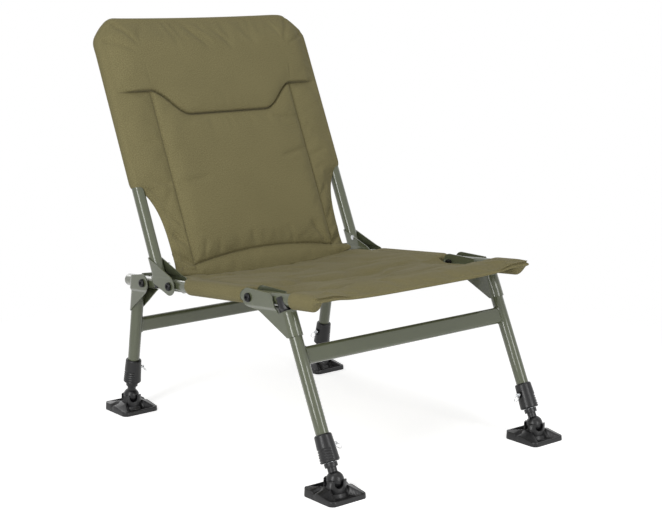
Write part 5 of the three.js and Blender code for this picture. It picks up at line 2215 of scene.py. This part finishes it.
@dataclass(frozen=True)
class BackPad:
    """Padded back cloth: headrest, panel, borders that wrap the tube, and a lower flap."""

    top: float = 0.5783
    bend: float = 0.062
    head_side: float = 0.4235
    sleeve: float = 0.0157
    panel_half: float = 0.184
    seam_depth: float = 0.0175
    head_puff: float = 0.0135
    head_lap: float = 0.0115
    panel_puff: float = 0.0102
    border_puff: float = 0.0045
    flap_puff: float = 0.0035
    roll: float = 0.020
    scallop_top: float = 0.222
    scallop_half: float = 0.220
    hem_half: float = 0.0022
    hem_middle: float = 0.005
    back_slack: float = 0.0077
    wrap: Point = (0.208, 0.226)
    thin: float = 0.0021
    ease_reach: float = 0.045
    flap_front: float = 0.0215
    flap_back: float = 0.0165
    lap_reach: float = 0.036
    pin_reach: float = 0.016
    head_drop: float = 0.057
    head_turn: float = 0.100
    low: float = 0.042
    low_bow: float = 0.018
    cell: float = 0.0078
    fine: tuple[float, ...] = (0.0, 0.002, 0.0045, 0.008, 0.0125, 0.018)
    folds: tuple[Fold, ...] = (
        Fold((-0.060, 0.572), (-0.015, 0.508), 0.0055, -0.0042),
        Fold((-0.040, 0.575), (0.004, 0.520), 0.0055, 0.0030),
        Fold((0.005, 0.565), (0.050, 0.505), 0.0065, -0.0036),
        Fold((-0.190, 0.520), (-0.240, 0.592), 0.0045, -0.0040),
        Fold((-0.200, 0.508), (-0.277, 0.550), 0.0045, -0.0040),
        Fold((0.190, 0.520), (0.240, 0.592), 0.0045, -0.0040),
        Fold((0.200, 0.508), (0.277, 0.550), 0.0045, -0.0040),
        Fold((-0.110, 0.585), (-0.098, 0.535), 0.006, -0.0024),
        Fold((0.120, 0.585), (0.108, 0.540), 0.006, -0.0022),
        Fold((0.184, 0.338), (0.110, 0.347), 0.0045, -0.0034),
        Fold((0.184, 0.268), (0.100, 0.250), 0.0055, -0.0036),
        Fold((0.188, 0.250), (0.240, 0.262), 0.0055, -0.0034),
        Fold((0.190, 0.225), (0.232, 0.236), 0.0045, 0.0022),
        Fold((-0.182, 0.215), (-0.090, 0.222), 0.0065, -0.0032),
        Fold((-0.188, 0.218), (-0.250, 0.232), 0.0060, -0.0032),
        Fold((0.186, 0.150), (0.222, 0.190), 0.0055, -0.0034),
        Fold((0.186, 0.095), (0.220, 0.135), 0.0050, -0.0055),
        Fold((0.186, 0.062), (0.221, 0.087), 0.0050, 0.0042),
        Fold((0.180, 0.042), (0.226, 0.068), 0.0048, -0.0062),
        Fold((-0.186, 0.125), (-0.215, 0.165), 0.0050, -0.0045),
        Fold((-0.186, 0.085), (-0.218, 0.125), 0.0050, -0.0060),
        Fold((-0.176, 0.038), (-0.228, 0.078), 0.0055, -0.0075),
        Fold((-0.186, 0.066), (-0.220, 0.098), 0.0045, 0.0042),
        Fold((-0.172, 0.028), (-0.224, 0.036), 0.0045, -0.0048),
        Fold((0.172, 0.040), (0.135, 0.104), 0.0055, -0.0062),
        Fold((-0.160, 0.050), (-0.145, 0.095), 0.0050, -0.0034),
        Fold((-0.120, 0.055), (-0.112, 0.090), 0.0050, -0.0026),
        Fold((0.080, 0.058), (0.072, 0.100), 0.0060, -0.0028),
        Fold((-0.020, 0.062), (-0.030, 0.098), 0.0060, -0.0022),
    )

    def head_seam(self, x: float) -> float:
        """Height of the seam under the headrest."""
        return self.head_side - self.head_drop * (1 - smooth(abs(x), self.head_turn, self.panel_half))

    def low_seam(self, x: float) -> float:
        """Height of the seam over the lower flap."""
        share = min(1.0, abs(x) / self.panel_half)
        return self.low + self.low_bow * (1 - share * share)

    def low_edge(self, x: float) -> float:
        """Lower edge of the flap, just clear of the seat."""
        seat = SeatSling().top(x, 0.368) + 0.002
        return 0.026 * math.tan(BACK.lean) + seat / math.cos(BACK.lean)

    def half(self, z: float) -> float:
        """Half width at a height, scalloped in below the sleeves.

        Args:
            z: height along the tube.

        Returns:
            The half width.
        """
        share = min(1.0, max(0.0, z / self.scallop_top))
        flare = 0.010 * (1 - smooth(z, 0.0, 0.055)) + 0.008 * (1 - smooth(z, 0.026, 0.042))
        return self.scallop_half + (LAYOUT.rail_x - self.scallop_half) * share**5 + flare

    def spot(self, x: float, z: float, near: bool) -> Vector:
        """Plan position of a nominal grid point, gathered into an ear at the corner or scalloped in.

        Args:
            x: nominal distance from the middle.
            z: nominal height.
            near: whether it is the near corner.

        Returns:
            The place in plan, on the right half.
        """
        start, shoulder = LAYOUT.rail_x - self.bend, self.top - self.bend
        if x > start and z > shoulder:
            a, b = (x - start) / self.bend, (z - shoulder) / self.bend
            across, up = a * math.sqrt(1 - b * b / 2), b * math.sqrt(1 - a * a / 2)
            facet = math.radians(45)
            turn = (math.atan2(up, across) + facet / 2) % facet - facet / 2
            gathered = 1 / math.cos(turn) - 1
            bulge = (a * b) ** 1.5
            full = (1.0 * gathered + 0.045 * bulge) if near else (0.9 * gathered - 0.03 * bulge)
            ear = 1 + full * math.hypot(across, up) ** 3
            return Vector((start + self.bend * across * ear, shoulder + self.bend * up * ear))
        if x > self.panel_half and z < self.scallop_top:
            share = (x - self.panel_half) / (LAYOUT.rail_x - self.panel_half)
            return Vector((self.panel_half + (self.half(z) - self.panel_half) * share, z))
        return Vector((x, z))

    def rim_away(self, spot: Vector) -> float:
        """Distance from the line of the tube, or from the scalloped hem.

        Args:
            spot: a point of the plan.

        Returns:
            The distance, 0 on the rim.
        """
        start, shoulder = LAYOUT.rail_x - self.bend, self.top - self.bend
        if spot.x > start and spot.y > shoulder:
            return max(0.0, self.bend - math.hypot(spot.x - start, spot.y - shoulder))
        side = (LAYOUT.rail_x if spot.y > self.scallop_top else self.half(spot.y)) - spot.x
        return max(0.0, min(side, self.top - spot.y))

    def seam_away(self, spot: Vector) -> float:
        """Distance from the nearest seam, roughly.

        Args:
            spot: a point of the plan.

        Returns:
            The distance.
        """
        x, z = abs(spot.x), spot.y
        away = min(abs(z - self.head_seam(x)), abs(z - self.low_seam(x)))
        return min(away, abs(x - self.panel_half)) if z < self.head_side else away

    def puff(self, away: float, height: float) -> float:
        """How far cloth stands out beside a seam, rolling up from it like a quarter round."""
        share = min(1.0, max(0.0, away / self.roll))
        return height * math.sqrt(1 - (1 - share) ** 2)

    def heights(self, spot: Vector, zone: str, share: float) -> tuple[float, float]:
        """Depths of the front and back sheets at a point of the right half.

        Args:
            spot: a point of the plan.
            zone: flap, panel or head.
            share: share of the zone's height.

        Returns:
            The front and the back depth.
        """
        x, z = spot
        away = self.rim_away(spot)
        wrapped = smooth(z, *self.wrap)
        rim_half = mix(self.hem_half, self.sleeve, wrapped)
        rim_middle = mix(self.hem_middle, 0.0, wrapped)
        if z > self.top - 0.001:
            rim_half -= self.thin * (1 - min(1.0, x / 0.2) ** 2)
        ease = smooth(away, 0.0, self.ease_reach)
        if zone == "head":
            rise = self.puff((z - self.head_seam(x)) * 0.9, self.head_puff)
        elif x > self.panel_half:
            head = self.head_side - z
            rise = self.puff(min(x - self.panel_half, head), self.border_puff)
        elif zone == "panel":
            near = min(self.panel_half - x, z - self.low_seam(x), (self.head_seam(x) - z) * 0.85)
            rise = self.puff(near, self.panel_puff)
        else:
            rise = 0.0
        front = mix(rim_middle + rim_half, self.seam_depth + rise, math.sqrt(ease) if ease > 0 else 0.0)
        back = mix(rim_middle - rim_half, -self.sleeve + self.back_slack, ease)
        if zone == "flap":
            gone = 1 - share
            belly = self.flap_puff * math.sin(math.pi * share)
            front = mix(front, self.flap_front, gone) + belly
            back = mix(back, self.flap_back, gone)
        return front, back

    def drawn(self) -> tuple[Sewn, list[tuple[str, float]], list[float]]:
        """The unfilled form on its grid, with its rows and nominal columns.

        Returns:
            The form, its rows as zone and share, and its nominal columns.
        """
        half = [self.panel_half * (1 - s) for s in graded(self.panel_half, self.fine, self.cell, both=False)]
        half = sorted(half + [0.0])
        start = LAYOUT.rail_x - self.bend
        half += [self.panel_half + d for d in (0.002, 0.0045, 0.008, 0.0115)]
        half += [start + self.bend * k / 8 for k in range(9)]
        columns = [-x for x in reversed(half[1:])] + half
        rows = [("flap", k / 4) for k in range(4)]
        rows += [("panel", s) for s in graded(0.355, self.fine, self.cell)]
        rows += [("head", s) for s in graded(0.110, self.fine, self.cell, both=False)]
        rows += [("top", k / 8) for k in range(9)]
        shoulder = self.top - self.bend
        plan, upper, lower = [], [], []
        for zone, share in rows:
            spots, fronts, backs = [], [], []
            for column in columns:
                x = abs(column)
                if zone == "flap":
                    z = mix(self.low_edge(x), self.low_seam(x), share)
                elif zone == "panel":
                    z = mix(self.low_seam(x), self.head_seam(x), share)
                elif zone == "head":
                    z = mix(self.head_seam(x), shoulder, share)
                else:
                    z = shoulder + self.bend * share
                spot = self.spot(x, z, column < 0)
                front, back = self.heights(spot, "head" if zone == "top" else zone, share)
                spots.append(Vector((math.copysign(spot.x, column), spot.y)))
                over = z - self.head_seam(x)
                if zone == "head" and 0 < over < self.lap_reach and x < LAYOUT.rail_x - 0.02:
                    spots[-1].y -= self.head_lap * math.sin(math.pi * over / self.lap_reach)
                fronts.append(front)
                backs.append(back)
            plan.append(spots)
            upper.append(fronts)
            lower.append(backs)

        def place(x: float, z: float, depth: float) -> Vector:
            """Puts a point of the plan at its depth in the hinged frame."""
            return Vector((x, BACK.offset - depth, z))

        return Sewn(plan, upper, lower, place, steps=10), rows, columns

    def build(self) -> None:
        """Sews, fills and creases the pad, and opens its sleeve for the tube."""
        form, rows, columns = self.drawn()
        mesh = form.build()
        low = next(r for r, (zone, _) in enumerate(rows) if zone == "panel")
        head = next(r for r, (zone, _) in enumerate(rows) if zone == "head")
        sides = [c for c, x in enumerate(columns) if abs(abs(x) - self.panel_half) < 1e-6]
        seams = [[form.at(r, c) for c in range(form.columns + 1)] for r in (low, head)]
        seams += [[form.at(r, c) for r in range(low, head + 1)] for c in sides]
        pins = [1.0] * len(mesh.vertices)
        for r in range(1, form.rows):
            for c in range(1, form.columns):
                pins[form.at(r, c)] = 1 - smooth(self.seam_away(form.plan[r][c]), 0.0, self.pin_reach)
        mesh = Filling(pressure=3.0, cap=0.004, spare=0.014, stir=0.0011).blow(mesh, pins)
        mesh = creased(mesh, seams, 0.8)
        facings = [smooth(-vertex.normal.y, 0.1, 0.6) for vertex in mesh.vertices]
        for vertex, facing in zip(mesh.vertices, facings):
            if facing > 0:
                vertex.co.y -= facing * sum(fold.lift(vertex.co.x, vertex.co.z) for fold in self.folds)
        lines = [[form.place(form.plan[r][c].x, form.plan[r][c].y, self.seam_depth) for r, c in chain]
                 for chain in (
                     [[(r, c) for c in range(sides[0] - 12, sides[1] + 13)] for r in (low, head)]
                     + [[(r, c) for r in range(low, head + 1)] for c in sides])]
        hems = []
        for sign in (-1, 1):
            points = []
            for k in range(40):
                z = mix(0.035, 0.212, k / 39)
                points.append(form.place(sign * (self.half(z) - 0.007), z, 0.02))
            hems.append(points)
        threads = Stitches.sew(mesh, lines + hems, 0.0001)
        room = sweep(BackTube().path(0.01), LAYOUT.tube + LAYOUT.gap, 48)
        mesh = carve(mesh, [room])
        pad = stand("back_cloth", moved(mesh, BACK.matrix), Dress.CLOTH, BACK.body, ["back_pad"], sharp=55)
        stand("back_stitches", moved(threads, BACK.matrix), Dress.THREAD, BACK.body)


# Studio


@dataclass(frozen=True)
class Studio:
    """Pale floor, soft lights and the camera at the photograph's angle."""

    focal: float = 1472.4
    floor_lift: float = 0.64
    world_light: float = 0.24
    width: float = 662.0
    sensor: float = 36.0
    far: float = 50.0
    paper: float = 0.86
    glow_from: float = 0.5
    glow_to: float = 1.2
    target: tuple[float, float, float] = (0, 0, 0.35)
    lamps: tuple[tuple[str, tuple[float, float, float], float, float, float], ...] = (
        ("strip", (-2.35, -0.87, 1.3), 0.6, 2.4, 40),
        ("fill", (0.3, -2.7, 0.95), 0.8, 1.6, 24),
        ("top", (-0.1, -0.1, 3.0), 1.8, 1.8, 15),
        ("rear", (0.5, 2.8, 1.5), 1.4, 1.6, 12),
    )
    camera_at: tuple[float, float, float] = (-1.86756, -2.30618, 0.93607)
    forward: tuple[float, float, float] = (0.62551785, 0.75530845, -0.19554172)
    right: tuple[float, float, float] = (0.77052055, -0.63740932, 0.00272937)

    def camera(self) -> None:
        """Puts the camera where the fitted view has it."""
        data = bpy.data.cameras.new("view")
        data.sensor_width = self.sensor
        data.lens = self.focal * self.sensor / self.width
        data.clip_end = self.far
        view = linked("view", data)
        back = -Vector(self.forward)
        right = Vector(self.right)
        up = back.cross(right)
        turn = Matrix((right, up, back)).transposed().to_4x4()
        view.matrix_world = Matrix.Translation(self.camera_at) @ turn
        bpy.context.scene.camera = view

    def white_to_camera(self, tree: bpy.types.NodeTree, lit: Any, plain: Any) -> Any:
        """Shows one shader to the camera and to mirrors, and another to diffuse light.

        Args:
            tree: the node tree.
            lit: the shader that diffuse light meets.
            plain: the shader that the camera sees.

        Returns:
            The output socket of the mix.
        """
        ray = add(tree, "ShaderNodeLightPath")
        seen = ray.outputs["Is Camera Ray"]
        for other in ("Is Glossy Ray", "Is Transmission Ray"):
            seen = reckoned(tree, "MAXIMUM", seen, ray.outputs[other])
        return add(tree, "ShaderNodeMixShader", {0: seen, 1: lit, 2: plain}).outputs[0]

    def world(self) -> None:
        """Even studio light, with a white backdrop."""
        world = bpy.data.worlds.new("studio")
        tree = cleared(world)
        lit = add(tree, "ShaderNodeBackground", {"Color": (1, 1, 1, 1), "Strength": self.world_light})
        plain = add(tree, "ShaderNodeBackground", {"Color": (1, 1, 1, 1), "Strength": 1.0})
        shown = self.white_to_camera(tree, lit.outputs[0], plain.outputs[0])
        add(tree, "ShaderNodeOutputWorld", {0: shown})
        bpy.context.scene.world = world

    def floor(self) -> None:
        """Matt white floor that keeps the shadows."""
        mesh = mesh_from([(-9, -9, 0), (9, -9, 0), (9, 9, 0), (-9, 9, 0)], [(0, 1, 2, 3)], outward=False)
        floor = linked("floor", mesh)
        paper = bpy.data.materials.new("white_paper")
        tree = cleared(paper)
        away = add(tree, "ShaderNodeVectorMath", {0: own_place(tree)}, operation="LENGTH").outputs["Value"]
        share = add(tree, "ShaderNodeMapRange", {"Value": away, 1: self.glow_from, 2: self.glow_to})
        white = add(tree, "ShaderNodeBsdfDiffuse", {"Color": (self.paper, self.paper, self.paper, 1)})
        lift = add(tree, "ShaderNodeEmission", {"Color": (1, 1, 1, 1), "Strength": self.floor_lift})
        lit = add(tree, "ShaderNodeAddShader", {0: white.outputs[0], 1: lift.outputs[0]})
        glow = add(tree, "ShaderNodeEmission", {"Color": (1, 1, 1, 1), "Strength": 1.0})
        near = add(tree, "ShaderNodeMixShader", {0: share.outputs[0], 1: lit.outputs[0], 2: glow.outputs[0]})
        add(tree, "ShaderNodeOutputMaterial",
            {0: self.white_to_camera(tree, white.outputs[0], near.outputs[0])})
        mesh.materials.append(paper)

    def lamp(self, name: str, at: Sequence[float], width: float, height: float, power: float) -> None:
        """Adds one panel lamp that looks at the chair.

        Args:
            name: the lamp's name.
            at: its place.
            width: its width.
            height: its height.
            power: its power in watts.
        """
        data = bpy.data.lights.new(name, "AREA")
        data.shape, data.size, data.size_y, data.energy = "RECTANGLE", width, height, power
        lamp = linked(name, data)
        aim = Vector(self.target) - Vector(at)
        lamp.matrix_world = Matrix.Translation(at) @ aim.to_track_quat("-Z", "Y").to_matrix().to_4x4()

    def build(self) -> None:
        """Sets the whole studio up."""
        self.camera()
        self.world()
        self.floor()
        for lamp in self.lamps:
            self.lamp(*lamp)
        bpy.context.scene.view_settings.view_transform = "Standard"


def main() -> None:
    """Builds the chair piece by piece, then its studio."""
    logging.basicConfig(level=logging.INFO, format="%(message)s")
    Studio().build()
    SeatRails().build()
    Joints(FRONT).build()
    Joints(REAR, StopRivet(0.022, 0.045)).build()
    Joints(BACK, StopRivet(0.030, 0.050)).build()
    for hinge, drop in ((FRONT, 0.138), (REAR, 0.110)):
        bar, beads = Crossbar(hinge, drop).shapes()
        stand(f"{hinge.name}_bar", bar, Dress.PAINT, hinge.body, [f"{hinge.name}_crossbar"])
        stand(f"{hinge.name}_bar_welds", beads, Dress.PAINT, hinge.body)
        Leg(hinge).build()
    FootPad().build()
    BackTube().build()
    SeatSling().build()
    BackPad().build()


if __name__ == "__main__":
    main()
